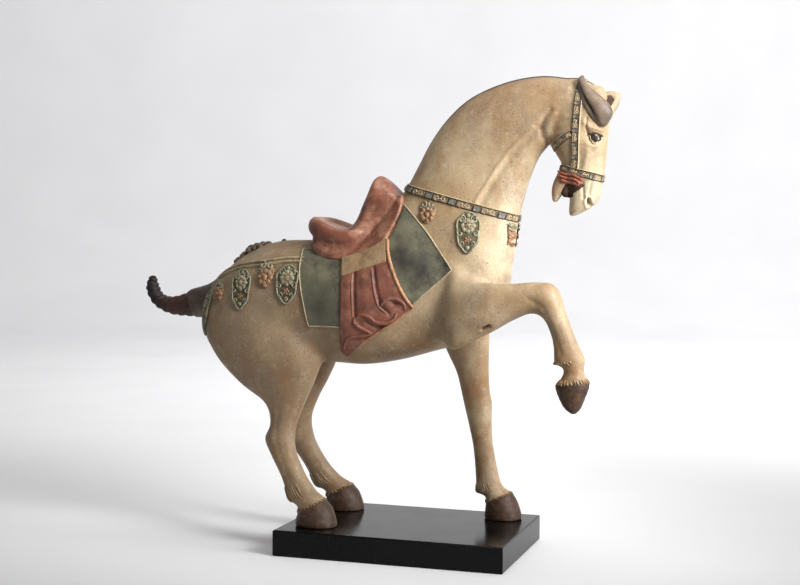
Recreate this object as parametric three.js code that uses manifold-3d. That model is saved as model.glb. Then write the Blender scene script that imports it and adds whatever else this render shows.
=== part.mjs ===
// A prancing horse in painted earthenware, saddled and in parade harness, on a black wooden plinth.
// Millimetres. +X runs towards the head, +Y to the horse's left and +Z up.
// The origin is the middle of the plinth's underside.
import * as THREE from "three";
import { mergeVertices } from "three/addons/utils/BufferGeometryUtils.js";
import Module from "manifold-3d";

const wasm = await Module();
wasm.setup();

// ---------------------------------------------------------------- driving dimensions

const PLINTH = { length: 270, width: 190, height: 30, chamfer: 1.2 };
const HOOF_GAP = 0.3; // the clay stands this clear of the wood
const SOLE = PLINTH.height + HOOF_GAP;
const LEFT = 1;
const RIGHT = -1;
const BOTH_SIDES = 240; // long enough to cut through both flanks
const LEFT_HIND_SHIFT = -4.5; // the left hind leg stands this much behind the right one

// Relief of the applied work above the horse's skin.
const RELIEF = { cloth: 1.8, skirt: 3.4, fold: 5.2, strap: 2.6, pendant: 4 };

const COLOURS = { clay: 0xc2aa86, lacquer: 0x0b0b0c };

// ---------------------------------------------------------------- the horse's sections
// Each row is one cross-section: the low or rear end of its long axis in side view (x, z), the
// high or front end (x, z), the distance of its middle from the centre plane, and half its breadth.

const TRUNK = [
  [-259, 262, -258, 290, 0, 10], // buttocks
  [-252, 234, -246, 306, 0, 34], // dock
  [-234, 215, -228, 326, 0, 47],
  [-205, 205, -204, 344, 0, 55], // croup
  [-155, 210, -165, 359, 0, 58],
  [-100, 216, -108, 361, 0, 59], // flank
  [-55, 215, -66, 363, 0, 60],
  [-15, 221, -38, 379, 0, 58], // girth
  [25, 232, -18, 404, 0, 53], // withers
  [72, 248, -3, 426, 0, 47],
  [110, 286, 9, 449, 0, 41], // breast
  [120, 340, 24, 476, 0, 35],
  [125, 380, 45, 503, 0, 30], // neck
  [135, 420, 72, 526.5, 0, 27],
  [147, 453, 112, 543, 0, 25],
  [160, 470, 152, 549, 0, 23], // throat
  [180, 488, 188, 545, 0, 20], // poll
];

const HEAD = [
  [178, 532, 203, 540, 0, 12], // poll
  [162, 514, 223, 521, 0, 20],
  [159, 490, 228, 497, 0, 24], // brow
  [165, 468, 227, 473, 0, 22], // cheek
  [176, 448, 225, 451, 0, 17],
  [181, 430, 222, 429, 0, 15],
  [185, 411, 219, 411, 0, 14.5], // nostrils
  [184.5, 398, 209, 400, 0, 13],
  [185.5, 389.5, 195, 392.5, 0, 7], // upper lip
];

const LOWER_JAW = [
  [180, 452, 202, 440, 0, 12],
  [168, 433, 190, 425, 0, 11],
  [164.5, 420, 178, 416, 0, 9.5],
  [165.5, 406, 171, 407, 0, 6], // lower lip
];

const TAIL = [
  [-236, 268, -238, 319, 0, 16], // dock
  [-262, 265.5, -258, 305, 0, 15],
  [-288, 265, -285, 296, 0, 13.5],
  [-312, 267.5, -308, 290, 0, 11.5],
  [-333, 278, -322, 293, 0, 10.5],
  [-344, 297, -327.5, 303, 0, 9],
  [-341, 314, -331, 315, 0, 6], // tip
];

const HIND_LEG = [
  [-222, 300, -150, 310, 27, 26], // haunch
  [-247, 258, -118, 272, 31, 29], // thigh
  [-233, 223, -99, 226, 34, 27], // stifle
  [-204, 191, -109, 196, 31, 20],
  [-175, 169, -121, 172, 28, 16], // gaskin
  [-166, 151, -129.5, 152, 28, 14],
  [-165, 138, -132.5, 140, 31, 13.5],
  [-169.5, 125, -132.5, 129, 34, 13.5], // hock
  [-159, 106, -129, 112, 39, 12],
  [-144, 82, -116, 88, 44, 11.5], // cannon
  [-136, 64, -103.5, 73, 48, 12.5], // fetlock
  [-131, 56, -98, 68, 50, 13.5],
  [-121, 52, -91, 64, 52, 14], // pastern
  [-119, 43, -86, 59.5, 53.5, 16.5], // coronet
];

const STANDING_FORELEG = [
  [22, 262, 88, 278, 30, 20],
  [31, 232, 84, 245, 41, 18], // elbow
  [43, 205, 81.5, 208, 46, 16.5],
  [49, 177, 82, 183, 50, 15],
  [52, 162, 84.5, 168, 52, 14.5], // knee
  [56.5, 143, 84, 147, 53, 13.5],
  [62, 115, 85, 120, 55, 12], // cannon
  [64.5, 82, 91, 87, 57.5, 11.5],
  [65, 66, 94.5, 73, 58.5, 12.5], // fetlock
  [66.5, 60, 98, 68, 59, 13],
  [76, 56, 102, 64.5, 59.5, 13.5], // pastern
  [77, 48, 108.5, 60.5, 60, 16.5], // coronet
];

const RAISED_FORELEG = [
  [45, 255, 62, 345, 30, 22], // shoulder
  [58, 236, 74, 325, 38, 22], // elbow
  [78, 245, 86, 317, 42, 21],
  [101, 256, 104, 315, 44, 19],
  [130, 273, 132, 315, 45, 16.5], // forearm
  [152, 282, 158, 317, 45, 15.5],
  [166, 277, 180, 312, 45, 15], // knee
  [174, 262, 193, 279, 45, 12],
  [178, 246, 202, 256, 45, 11.5], // cannon
  [178.5, 229, 212.5, 234, 45, 13.5],
  [180, 227, 212.5, 229, 45, 13.5], // fetlock
  [189, 223, 212, 222, 45, 12.5],
  [188, 214, 213, 216, 45, 13], // pastern
  [180.5, 203, 218.5, 206, 45, 17], // coronet
  [184.5, 190, 213.5, 190, 45, 15.5],
  [190, 180, 209, 179, 45, 12.5], // hoof
  [198, 172.5, 203.5, 172.5, 45, 6], // toe
];

const HIND_HOOF = [
  [-119, 43, -86, 59.5, 53.5, 16.5], // coronet
  [-120.5, 36, -79, 49, 54, 19],
  [-121, SOLE, -71.5, SOLE, 54.5, 21], // sole
];

const FORE_HOOF = [
  [77, 48, 108.5, 60.5, 60, 16.5], // coronet
  [76.5, 38, 114, 49, 60, 19],
  [76, SOLE, 120.5, SOLE, 60.5, 21], // sole
];

const SADDLE = [
  [-116, 345, -117, 383, 0, 26], // cantle
  [-110, 334, -112, 389, 0, 41],
  [-96, 326, -98, 389, 0, 48],
  [-76, 322, -76, 383, 0, 50],
  [-58, 330, -60, 390, 0, 48],
  [-44, 340, -48, 415, 0, 43],
  [-32, 352, -37, 436, 0, 37], // pommel
  [-22, 366, -27, 433, 0, 34],
  [-12, 388, -16, 418, 0, 30],
];

// The right ear is laid back along the head and the left one is pricked forward.
const RIGHT_EAR = [
  [219, 491, 224, 491, 14, 4], // root, over the eye
  [208, 500, 231, 503, 17, 8],
  [200, 513, 230, 516, 18, 9],
  [197, 528, 216, 531, 17, 7],
  [195, 540, 205, 541, 14, 4.5],
  [197, 546, 202, 547, 12, 1.5], // tip
];

const LEFT_EAR = [
  [206, 510, 224, 502, 12, 9], // root
  [214, 521, 229, 510, 18, 7],
  [226, 526, 233, 520, 22, 4.5],
  [236, 528, 238, 527, 24, 1], // tip
];

const FORELOCK = [
  [196, 526, 204, 543, 0, 9],
  [206, 524, 212, 538, 0, 10],
  [215, 520, 221, 535, 0, 9],
  [222, 517, 227, 524, 0, 5],
];

// ---------------------------------------------------------------- outlines in side view (x, z)

const CLOTH_FRONT = [
  [-15, 360], [-8, 372], [1, 402], [16, 387], [32, 369], [46, 349], [61, 328], [39, 309], [17, 290],
];
const CLOTH_REAR = [[-122, 352], [-119, 320], [-107, 262], [-68, 262], [-69, 338]];
const SKIRT = [
  [-69, 345], [-67, 318], [-66, 284], [-70, 234], [-63, 228], [-57, 234], [-47, 242],
  [-32, 252], [-18, 261], [-5, 269], [15, 286], [0, 311], [-8, 330], [-13, 349], [-15, 362],
];
const SKIRT_BAND = [[-70, 345], [-66, 319], [-14, 337], [-16, 362]];
const FOLDS = [
  [[-52, 324], [-49, 325], [-47, 272], [-50, 271]],
  [[-29, 328], [-26, 328], [-17, 286], [-20, 284]],
  [[-48, 272], [-43, 276], [-30, 264], [-14, 262], [-30, 271], [-46, 283]],
  [[-16, 284], [-10, 294], [0, 292], [-6, 284]],
  [[-66, 240], [-62, 248], [-52, 246], [-55, 240]],
];

const COLLAR = [
  [-14, 428], [7, 425], [57, 411], [111, 398], [131, 391], // upper edge
  [131, 381], [111, 387], [57, 400], [31, 408], [-14, 417], // lower edge
];
const CRUPPER = [
  [-120, 340], [-143, 340], [-166, 336], [-190, 333], [-208, 329], [-232, 320], [-262, 302],
  [-262, 296], [-229, 314], [-207, 324], [-186, 328], [-166, 331], [-143, 335], [-120, 335],
];
const CHEEK_STRAP = [[191, 540], [200, 540], [197, 446], [189, 445]];
const NOSEBAND = [[176, 452], [176, 443], [192, 438], [232, 427], [232, 437], [194, 447]];
const THROAT_LATCH = [[155, 476], [155, 468], [166, 463], [190, 477], [190, 483]];

// Pendants hang from a strap: x and z of the middle, breadth and height.
const COLLAR_PENDANTS = [[30, 392, 20, 22], [77, 371, 27, 44]];
const CRUPPER_PENDANTS = [
  [-133, 309, 24, 42], [-161, 318, 17, 26], [-192, 301, 22, 44], [-226, 298, 13, 22],
];

// Things that stand on the centre line: x, z, radius.
const CROUP_KNOB = [
  [-203, 348, 6], [-196, 351, 6.5], [-188, 353, 6], [-181, 355, 5.5], [-212, 341, 5],
  [-220, 334, 4.5], [-161, 360, 3],
];
const BREAST_PENDANT = { x: 121, z: 367, breadth: 17, height: 27, depth: 5 };
const SEAT = { x: -84, z: 392, halfLength: 24, halfBreadth: 26, depth: 14 };
const PENDANT_TAPER = 0.28; // how much narrower a pendant is at its drop

// ---------------------------------------------------------------- solids

/** A merged, indexed geometry as a manifold-3d solid. */
function solidOf(geometry) {
  const bare = geometry.clone();
  bare.deleteAttribute("normal");
  bare.deleteAttribute("uv");
  const merged = mergeVertices(bare, 1e-4);
  return new wasm.Manifold(
    new wasm.Mesh({
      numProp: 3,
      vertProperties: new Float32Array(merged.attributes.position.array),
      triVerts: new Uint32Array(merged.index.array),
    }),
  );
}

/** A manifold-3d solid as a three.js geometry. */
function geometryOf(solid) {
  const mesh = solid.getMesh();
  const places = new Float32Array(mesh.numVert * 3);
  for (let i = 0; i < mesh.numVert; i++)
    places.set(mesh.vertProperties.subarray(i * mesh.numProp, i * mesh.numProp + 3), i * 3);
  const geometry = new THREE.BufferGeometry();
  geometry.setAttribute("position", new THREE.BufferAttribute(places, 3));
  geometry.setIndex(new THREE.BufferAttribute(mesh.triVerts, 1));
  geometry.computeVertexNormals();
  return geometry;
}

/** One solid from several that touch or overlap. */
const join = (...solids) => solids.reduce((whole, solid) => whole.add(solid));

/** Cosine or sine of a superellipse: power 2 is round, more is squarer. */
const squared = (value, power) => Math.sign(value) * Math.abs(value) ** (2 / power);

/**
 * A closed solid over a table of sections, smooth along its length.
 * sides: points round a section. steps: rings from one section to the next.
 * power: squareness of a section. egg: how much its high end is narrower than its low end.
 * grow: added all round. side: LEFT or RIGHT. shift: moves it along x.
 */
function loft(sections, options = {}) {
  const { sides = 12, steps = 2, power = 2.2, egg = 0, grow = 0, side = LEFT, shift = 0 } = options;
  const along = (pick) => new THREE.CatmullRomCurve3(sections.map(pick), false, "catmullrom", 0.5);
  const low = along(([x, z, , , y]) => new THREE.Vector3(x + shift, side * y, z));
  const high = along(([, , x, z, y]) => new THREE.Vector3(x + shift, side * y, z));
  const breadth = along(([, , , , , half], i) => new THREE.Vector3(half, i, 0));
  const rings = (sections.length - 1) * steps;
  const places = [];
  for (let ring = 0; ring <= rings; ring++) {
    const a = low.getPoint(ring / rings);
    const b = high.getPoint(ring / rings);
    const middle = a.clone().add(b).multiplyScalar(0.5);
    const reach = b.clone().sub(a).multiplyScalar(0.5);
    reach.setLength(reach.length() + grow);
    const half = breadth.getPoint(ring / rings).x + grow;
    for (let k = 0; k < sides; k++) {
      const angle = (2 * Math.PI * k) / sides;
      const up = squared(Math.cos(angle), power);
      const out = squared(Math.sin(angle), power) * (1 - egg * up);
      const p = middle.clone().addScaledVector(reach, up);
      places.push(p.x, p.y + half * out, p.z);
    }
    if (ring === 0 || ring === rings) places.push(middle.x, middle.y, middle.z);
  }
  return solidOf(skin(places, sides, rings));
}

/** Joins rings of points into a closed geometry; the end rings carry their own middle point. */
function skin(places, sides, rings) {
  const first = (ring) => ring * sides + (ring > 0 ? 1 : 0);
  const faces = [];
  for (let ring = 0; ring < rings; ring++)
    for (let k = 0; k < sides; k++) {
      const next = (k + 1) % sides;
      const [a, b] = [first(ring) + k, first(ring) + next];
      const [c, d] = [first(ring + 1) + k, first(ring + 1) + next];
      faces.push(a, b, d, a, d, c);
    }
  const startMiddle = sides;
  const endMiddle = places.length / 3 - 1;
  for (let k = 0; k < sides; k++) {
    const next = (k + 1) % sides;
    faces.push(startMiddle, next, k);
    faces.push(endMiddle, first(rings) + k, first(rings) + next);
  }
  const geometry = new THREE.BufferGeometry();
  geometry.setAttribute("position", new THREE.Float32BufferAttribute(places, 3));
  geometry.setIndex(faces);
  return facingOut(geometry);
}

/** Turns a geometry's faces round if they point inwards. */
function facingOut(geometry) {
  const place = geometry.attributes.position;
  const faces = geometry.index.array;
  const v = [new THREE.Vector3(), new THREE.Vector3(), new THREE.Vector3()];
  let volume = 0;
  for (let i = 0; i < faces.length; i += 3) {
    v.forEach((corner, j) => corner.fromBufferAttribute(place, faces[i + j]));
    volume += v[0].dot(v[1].clone().cross(v[2]));
  }
  if (volume < 0)
    for (let i = 0; i < faces.length; i += 3) {
      const second = faces[i + 1];
      faces[i + 1] = faces[i + 2];
      faces[i + 2] = second;
    }
  return geometry;
}

/** A side outline carried straight through from flank to flank. */
function throughBoth(outline, depth = BOTH_SIDES) {
  const shape = new THREE.Shape(outline.map(([x, z]) => new THREE.Vector2(x, z)));
  const prism = new THREE.ExtrudeGeometry(shape, { depth, bevelEnabled: false });
  prism.rotateX(Math.PI / 2);
  prism.translate(0, depth / 2, 0);
  return solidOf(prism);
}

/** The outline of a pendant: a leaf with a round shoulder and a narrower drop. */
function leaf([x, z, breadth, height], points = 8) {
  const outline = [];
  for (let k = 0; k < points; k++) {
    const angle = (2 * Math.PI * k) / points;
    const down = (1 - Math.cos(angle)) / 2;
    const taper = 1 - PENDANT_TAPER * down ** 2;
    outline.push([x + (breadth / 2) * Math.sin(angle) * taper, z + (height / 2) * Math.cos(angle)]);
  }
  return outline;
}

/** A small ball on the centre line. */
function ball([x, z, radius]) {
  const sphere = new THREE.IcosahedronGeometry(radius, 0);
  sphere.translate(x, 0, z);
  return solidOf(sphere);
}

// ---------------------------------------------------------------- the horse

/** Trunk, neck, head and limbs, with a given thickness added all over. */
function body(grow = 0) {
  const leg = { sides: 10, grow, power: 2.1 };
  return join(
    loft(TRUNK, { sides: 18, power: 2.25, grow }),
    loft(HIND_LEG, { ...leg, side: RIGHT }),
    loft(HIND_LEG, { ...leg, side: LEFT, shift: LEFT_HIND_SHIFT }),
    loft(STANDING_FORELEG, { ...leg, side: LEFT }),
    loft(RAISED_FORELEG, { ...leg, side: RIGHT }),
  );
}

/** The head without its lower jaw, with a given thickness added all over. */
const head = (grow = 0) => loft(HEAD, { sides: 14, grow });

/** The three hooves that stand on the plinth; the raised one is part of its leg. */
function hooves() {
  const hoof = { sides: 10, steps: 1, power: 2.1 };
  return join(
    loft(HIND_HOOF, { ...hoof, side: RIGHT }),
    loft(HIND_HOOF, { ...hoof, side: LEFT, shift: LEFT_HIND_SHIFT }),
    loft(FORE_HOOF, { ...hoof, side: LEFT }),
  );
}

/** Both ears and the forelock between them. */
function ears() {
  const thin = { sides: 8, steps: 1 };
  return join(
    loft(RIGHT_EAR, { ...thin, side: RIGHT }),
    loft(LEFT_EAR, { ...thin, side: LEFT }),
    loft(FORELOCK, thin),
  );
}

/** The saddle with its dished seat. */
function saddle() {
  const dish = new THREE.SphereGeometry(1, 16, 10);
  dish.scale(SEAT.halfLength, SEAT.halfBreadth, SEAT.depth);
  dish.translate(SEAT.x, 0, SEAT.z);
  return loft(SADDLE, { sides: 16, egg: 0.12 }).subtract(solidOf(dish));
}

/** Low relief: an outline cut out of the body grown by its height. */
const applied = (outline, grownBody) => throughBoth(outline).intersect(grownBody);

/** The two cloth panels and the skirt over them, with its folds. */
function saddleCloth() {
  return join(
    applied(CLOTH_FRONT, body(RELIEF.cloth)),
    applied(CLOTH_REAR, body(RELIEF.cloth)),
    applied(SKIRT, body(RELIEF.skirt)),
    applied(SKIRT_BAND, body(RELIEF.skirt)),
    ...FOLDS.map((fold) => applied(fold, body(RELIEF.fold))),
  );
}

/** The breast collar, the crupper, the pendants on both and the knobs over the croup. */
function harness() {
  const strapped = body(RELIEF.strap);
  const hung = body(RELIEF.pendant);
  return join(
    applied(COLLAR, strapped),
    applied(CRUPPER, strapped),
    ...[...COLLAR_PENDANTS, ...CRUPPER_PENDANTS].map((place) => applied(leaf(place), hung)),
    ...CROUP_KNOB.map(ball),
  );
}

/** The pendant in front of the breast, on the centre line. */
function breastPendant() {
  const { x, z, breadth, height, depth } = BREAST_PENDANT;
  const drop = new THREE.SphereGeometry(1, 10, 6);
  drop.scale(depth, breadth / 2, height / 2);
  drop.translate(x, 0, z);
  return solidOf(drop);
}

/** The straps round the head. */
function bridle() {
  const strapped = head(RELIEF.strap);
  return join(
    applied(CHEEK_STRAP, strapped),
    applied(NOSEBAND, strapped),
    applied(THROAT_LATCH, strapped),
  );
}

/** The whole animal with what it wears, as one solid. */
function horse() {
  return join(
    body(),
    head(),
    loft(LOWER_JAW, { sides: 10, steps: 1 }),
    loft(TAIL, { sides: 10 }),
    hooves(),
    ears(),
    saddle(),
    saddleCloth(),
    harness(),
    breastPendant(),
    bridle(),
  );
}

// ---------------------------------------------------------------- the plinth

/** A plain board with a fine chamfer round its top and bottom edges. */
function plinth() {
  const { length, width, height, chamfer } = PLINTH;
  const [x, y] = [length / 2 - chamfer, width / 2 - chamfer];
  const corners = [[-x, -y], [x, -y], [x, y], [-x, y]];
  const face = new THREE.Shape(corners.map(([u, v]) => new THREE.Vector2(u, v)));
  const board = new THREE.ExtrudeGeometry(face, {
    depth: height - 2 * chamfer,
    bevelEnabled: true,
    bevelThickness: chamfer,
    bevelSize: chamfer,
    bevelSegments: 1,
  });
  board.translate(0, 0, chamfer);
  return board;
}

// ---------------------------------------------------------------- the object

/** A named mesh with its own material. */
function piece(name, geometry, look) {
  const mesh = new THREE.Mesh(geometry, new THREE.MeshStandardMaterial(look));
  mesh.name = name;
  return mesh;
}

const figure = new THREE.Group();
figure.add(
  piece("horse", geometryOf(horse()), { color: COLOURS.clay, roughness: 0.75, metalness: 0 }),
  piece("plinth", plinth(), { color: COLOURS.lacquer, roughness: 0.25, metalness: 0 }),
);

export default figure;
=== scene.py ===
"""A saddled, prancing horse in painted clay, standing on a black lacquered plinth."""

import logging
import math
from collections.abc import Callable
from dataclasses import dataclass, field
from enum import Enum

import bmesh
import bpy
import numpy as np
from mathutils import Matrix, Vector
from mathutils.bvhtree import BVHTree


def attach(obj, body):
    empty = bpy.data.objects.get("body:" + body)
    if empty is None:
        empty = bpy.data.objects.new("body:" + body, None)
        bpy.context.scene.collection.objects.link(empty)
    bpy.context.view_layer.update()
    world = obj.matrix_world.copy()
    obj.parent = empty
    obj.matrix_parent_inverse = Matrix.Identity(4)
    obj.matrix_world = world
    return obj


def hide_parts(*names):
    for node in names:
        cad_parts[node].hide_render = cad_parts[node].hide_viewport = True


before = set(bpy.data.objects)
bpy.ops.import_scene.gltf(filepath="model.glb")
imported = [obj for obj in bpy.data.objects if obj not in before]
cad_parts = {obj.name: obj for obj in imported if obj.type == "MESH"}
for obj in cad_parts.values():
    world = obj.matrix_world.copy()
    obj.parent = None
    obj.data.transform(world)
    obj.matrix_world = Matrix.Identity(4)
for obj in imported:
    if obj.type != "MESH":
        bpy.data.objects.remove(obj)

log = logging.getLogger("prancing_horse")

MM = 0.001
ROOT = "root"
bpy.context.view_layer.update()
FAR = 0.6  # metres; further out than any part of the horse
SHARP = math.radians(48)  # an edge sharper than this stays crisp under smooth shading
SKIN_SHARP = math.radians(70)  # the same for the clay skin, which is softer
MERGE = 1e-6  # metres; points closer than this are one
SLIT_FADE = 1.15  # how much sooner a slit runs out than the form it is cut along
MISS_DEPTH = 0.58  # metres; how far along a sight that misses the horse its nearest skin is looked for
CURL_END = 0.25  # how far from its centre a scroll ends, as a share of its radius

Pair = tuple[float, float]
Place = tuple[float, float, float]
Station = tuple[float, float, float, float, float, float]
Outline = tuple[Pair, ...]


class Side(Enum):
    """Which flank of the horse a thing is on, as a sign along Y."""

    LEFT = 1
    RIGHT = -1


class View(Enum):
    """Which part of the skin flat work is laid on: its outward, across and up directions."""

    RIGHT = ((0, -1, 0), (1, 0, 0), (0, 0, 1))
    LEFT = ((0, 1, 0), (1, 0, 0), (0, 0, 1))
    REAR = ((-1, 0, 0), (0, 1, 0), (0, 0, 1))


BOTH = (Side.RIGHT, Side.LEFT)
FLANKS = (View.RIGHT, View.LEFT)


# ---------------------------------------------------------------- mesh helpers


def new_piece(name: str, bm: bmesh.types.BMesh, finish: bpy.types.Material) -> bpy.types.Object:
    """Turns a bmesh into an object, smooth but for its sharp edges.

    Args:
        name: The piece's name.
        bm: The mesh in metres, in the frame's own axes. It is freed.
        finish: The material it wears.

    Returns:
        The new object.
    """
    bmesh.ops.remove_doubles(bm, verts=bm.verts, dist=MERGE)
    bmesh.ops.recalc_face_normals(bm, faces=bm.faces)
    mesh = bpy.data.meshes.new(name)
    bm.to_mesh(mesh)
    bm.free()
    piece = bpy.data.objects.new(name, mesh)
    bpy.context.scene.collection.objects.link(piece)
    mesh.materials.append(finish)
    mesh.shade_smooth()
    mesh.set_sharp_from_angle(angle=SHARP)
    return piece


def keep(piece: bpy.types.Object) -> None:
    """Hands a finished piece to the frame: it rides on the root body."""
    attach(piece, ROOT)
    log.info("%s: %d faces", piece.name, len(piece.data.polygons))


def bake(piece: bpy.types.Object) -> None:
    """Bakes a piece's modifiers into its mesh."""
    graph = bpy.context.evaluated_depsgraph_get()
    finished = bpy.data.meshes.new_from_object(piece.evaluated_get(graph))
    piece.modifiers.clear()
    old, piece.data = piece.data, finished
    bpy.data.meshes.remove(old)


def fuse(piece: bpy.types.Object, facet_mm: float, passes: int = 0) -> None:
    """Fuses a piece's overlapping solids into one even skin.

    Args:
        piece: The object to fuse.
        facet_mm: The size of a facet.
        passes: How many times the skin is then smoothed all over.
    """
    remesh = piece.modifiers.new("fuse", "REMESH")
    remesh.mode = "VOXEL"
    remesh.voxel_size = facet_mm * MM
    remesh.use_smooth_shade = True
    if passes:
        rub = piece.modifiers.new("rub", "SMOOTH")
        rub.factor = 0.5
        rub.iterations = passes
    bake(piece)


def places_of(mesh: bpy.types.Mesh) -> tuple[np.ndarray, np.ndarray]:
    """A mesh's points in millimetres and their facings."""
    count = len(mesh.vertices) * 3
    place, facing = np.empty(count, np.float32), np.empty(count, np.float32)
    mesh.vertices.foreach_get("co", place)
    mesh.vertices.foreach_get("normal", facing)
    return place.reshape(-1, 3).astype(float) / MM, facing.reshape(-1, 3).astype(float)


def mark(piece: bpy.types.Object, name: str, share: Callable[[np.ndarray], np.ndarray]) -> None:
    """Gives each point of a piece a share that its finish reads.

    Args:
        piece: The piece.
        name: The attribute's name.
        share: Works the shares out from the points, in millimetres.
    """
    place = places_of(piece.data)[0]
    values = share(place).astype(np.float32)
    piece.data.attributes.new(name, "FLOAT", "POINT").data.foreach_set("value", values)


def catmull(points: np.ndarray, t: float) -> np.ndarray:
    """A point on the smooth curve through a list of rows.

    Args:
        points: One row of numbers for each point.
        t: How far along, from 0 to 1.

    Returns:
        The row at t.
    """
    last = len(points) - 1
    place = min(t * last, last - 1e-9)
    i = int(place)
    f = place - i
    before = points[i - 1] if i > 0 else 2 * points[0] - points[1]
    after = points[i + 2] if i + 2 <= last else 2 * points[last] - points[last - 1]
    a, b = points[i], points[i + 1]
    slope_a, slope_b = (b - before) / 2, (after - a) / 2
    return (
        (2 * f**3 - 3 * f**2 + 1) * a
        + (f**3 - 2 * f**2 + f) * slope_a
        + (-2 * f**3 + 3 * f**2) * b
        + (f**3 - f**2) * slope_b
    )


def smooth_path(points: Outline, count: int) -> Outline:
    """Points on the smooth curve through an open line's points."""
    rows = np.array(points, float)
    return tuple(tuple(catmull(rows, k / (count - 1))) for k in range(count))


def squared(value: float, power: float) -> float:
    """The cosine or sine of a superellipse: power 2 is round and more is squarer."""
    return math.copysign(abs(value) ** (2 / power), value)


def sweep(bm: bmesh.types.BMesh, rings: list[list[Vector]], hoop: bool = False) -> None:
    """Adds a solid whose skin runs through a row of rings.

    Args:
        bm: The mesh to add to.
        rings: Loops of points, all with the same number of them.
        hoop: Whether the last ring joins the first.
    """
    rows = rings + [rings[0]] if hoop else rings
    across, along = len(rows[0]), len(rows) - 1
    grid = bmesh.ops.create_grid(bm, x_segments=along, y_segments=across, size=1.0)["verts"]
    for vert in grid:
        i = round((vert.co.x + 1) / 2 * along)
        k = round((vert.co.y + 1) / 2 * across) % across
        vert.co = rows[i][k]
    bmesh.ops.remove_doubles(bm, verts=grid, dist=1e-7)
    if not hoop:
        rims = list({edge for vert in grid if vert.is_valid for edge in vert.link_edges if edge.is_boundary})
        bmesh.ops.holes_fill(bm, edges=rims, sides=0)


def ring_about(middle: Vector, across: Vector, rise: Vector, count: int) -> list[Vector]:
    """A ring of points round a middle, as wide and as high as its two directions are long."""
    turns = (2 * math.pi * k / count for k in range(count))
    return [middle + across * math.cos(turn) + rise * math.sin(turn) for turn in turns]


def pour(part: bmesh.types.BMesh, bm: bmesh.types.BMesh) -> None:
    """Adds one mesh to another and frees it.

    Args:
        part: The mesh to add.
        bm: The mesh that takes it.
    """
    bmesh.ops.recalc_face_normals(part, faces=part.faces)
    mesh = bpy.data.meshes.new("part")
    part.to_mesh(mesh)
    part.free()
    bm.from_mesh(mesh)
    bpy.data.meshes.remove(mesh)


@dataclass(frozen=True)
class Limb:
    """A lofted form: trunk, neck, head, leg, tail, ear or saddle.

    Each station is one cross-section in millimetres: the low or rear end of its long axis in side
    view (x, z), the high or front end (x, z), its middle's distance from the centre plane, and
    half its breadth. A slit is a furrow along the form: its angle round the section, its breadth
    in radians and its depth as a share of the radius.
    """

    stations: tuple[Station, ...]
    side: Side = Side.LEFT
    shift: float = 0.0
    segments: int = 32
    rings: int = 5
    power: float = 2.15
    egg: float = 0.0
    grow: float = 0.0
    ripple: float = 0.0
    ripples: float = 0.0
    slant: float = 0.0
    slit: tuple[float, float, float] | None = None

    def add_to(self, bm: bmesh.types.BMesh) -> None:
        """Adds the closed form to a mesh."""
        count = (len(self.stations) - 1) * self.rings
        angles = [2 * math.pi * k / self.segments for k in range(self.segments)]
        sweep(bm, [[self.point(i / count, angle) for angle in angles] for i in range(count + 1)])

    def point(self, t: float, angle: float, lift: float = 0.0) -> Vector:
        """A point on the form.

        Args:
            t: How far along the form it is, from 0 to 1.
            angle: Where it is round the section: 0 is the high or front end.
            lift: How far above the form it is, in millimetres.

        Returns:
            The point, in metres.
        """
        row = catmull(np.array(self.stations, float), t)
        low = Vector((row[0] + self.shift, self.side.value * row[4], row[1]))
        high = Vector((row[2] + self.shift, self.side.value * row[4], row[3]))
        middle, reach = (low + high) / 2, (high - low) / 2
        turn = self.ripples * t + self.slant * math.cos(angle)
        swell = self.grow + lift + self.ripple * (abs(math.sin(math.pi * turn)) - 1)
        reach = reach.normalized() * (reach.length + swell)
        up = squared(math.cos(angle), self.power)
        out = squared(math.sin(angle), self.power) * (1 - self.egg * up)
        if self.slit:
            bearing, breadth, depth = self.slit
            off = (angle - bearing + math.pi) % (2 * math.pi) - math.pi
            fade = math.sin(math.pi * min(1, t * SLIT_FADE))
            kept = 1 - depth * math.exp(-((off / breadth) ** 2)) * fade
            up, out = up * kept, out * kept
        return (middle + reach * up + Vector((0, (row[5] + swell) * out, 0))) * MM


# ---------------------------------------------------------------- flat work
# Flat work is drawn in millimetres: x along, z up and y its height above what it is laid on.


@dataclass(frozen=True)
class Stroke:
    """One pass of a modelling tool over the clay, along a path in side view, in millimetres."""

    path: Outline
    width: float
    height: float
    sides: tuple[Side, ...] = BOTH
    reach: Pair = (0.0, 100.0)

    def profile(self, flat: np.ndarray) -> np.ndarray:
        """How far the stroke raises points given as x and z."""
        nearest = np.full(len(flat), 1e9)
        rows = np.array(self.path, float)
        for a, b in zip(rows, rows[1:]):
            along = np.clip(((flat - a) @ (b - a)) / max((b - a) @ (b - a), 1e-9), 0, 1)
            nearest = np.minimum(nearest, np.linalg.norm(flat - a - along[:, None] * (b - a), axis=1))
        return self.height * np.exp(-((nearest / self.width) ** 2))

    def lift(self, place: np.ndarray, facing: np.ndarray) -> np.ndarray:
        """How far the stroke raises each point of a solid.

        Args:
            place: Points in millimetres.
            facing: Their normals.

        Returns:
            The height for each point, in millimetres.
        """
        gate = np.zeros(len(place))
        for side in self.sides:
            depth = place[:, 1] * side.value
            inside = (depth >= self.reach[0]) & (depth <= self.reach[1])
            gate = np.maximum(gate, np.clip(facing[:, 1] * side.value * 2.0, 0, 1) * inside)
        return self.profile(place[:, (0, 2)]) * gate


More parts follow.
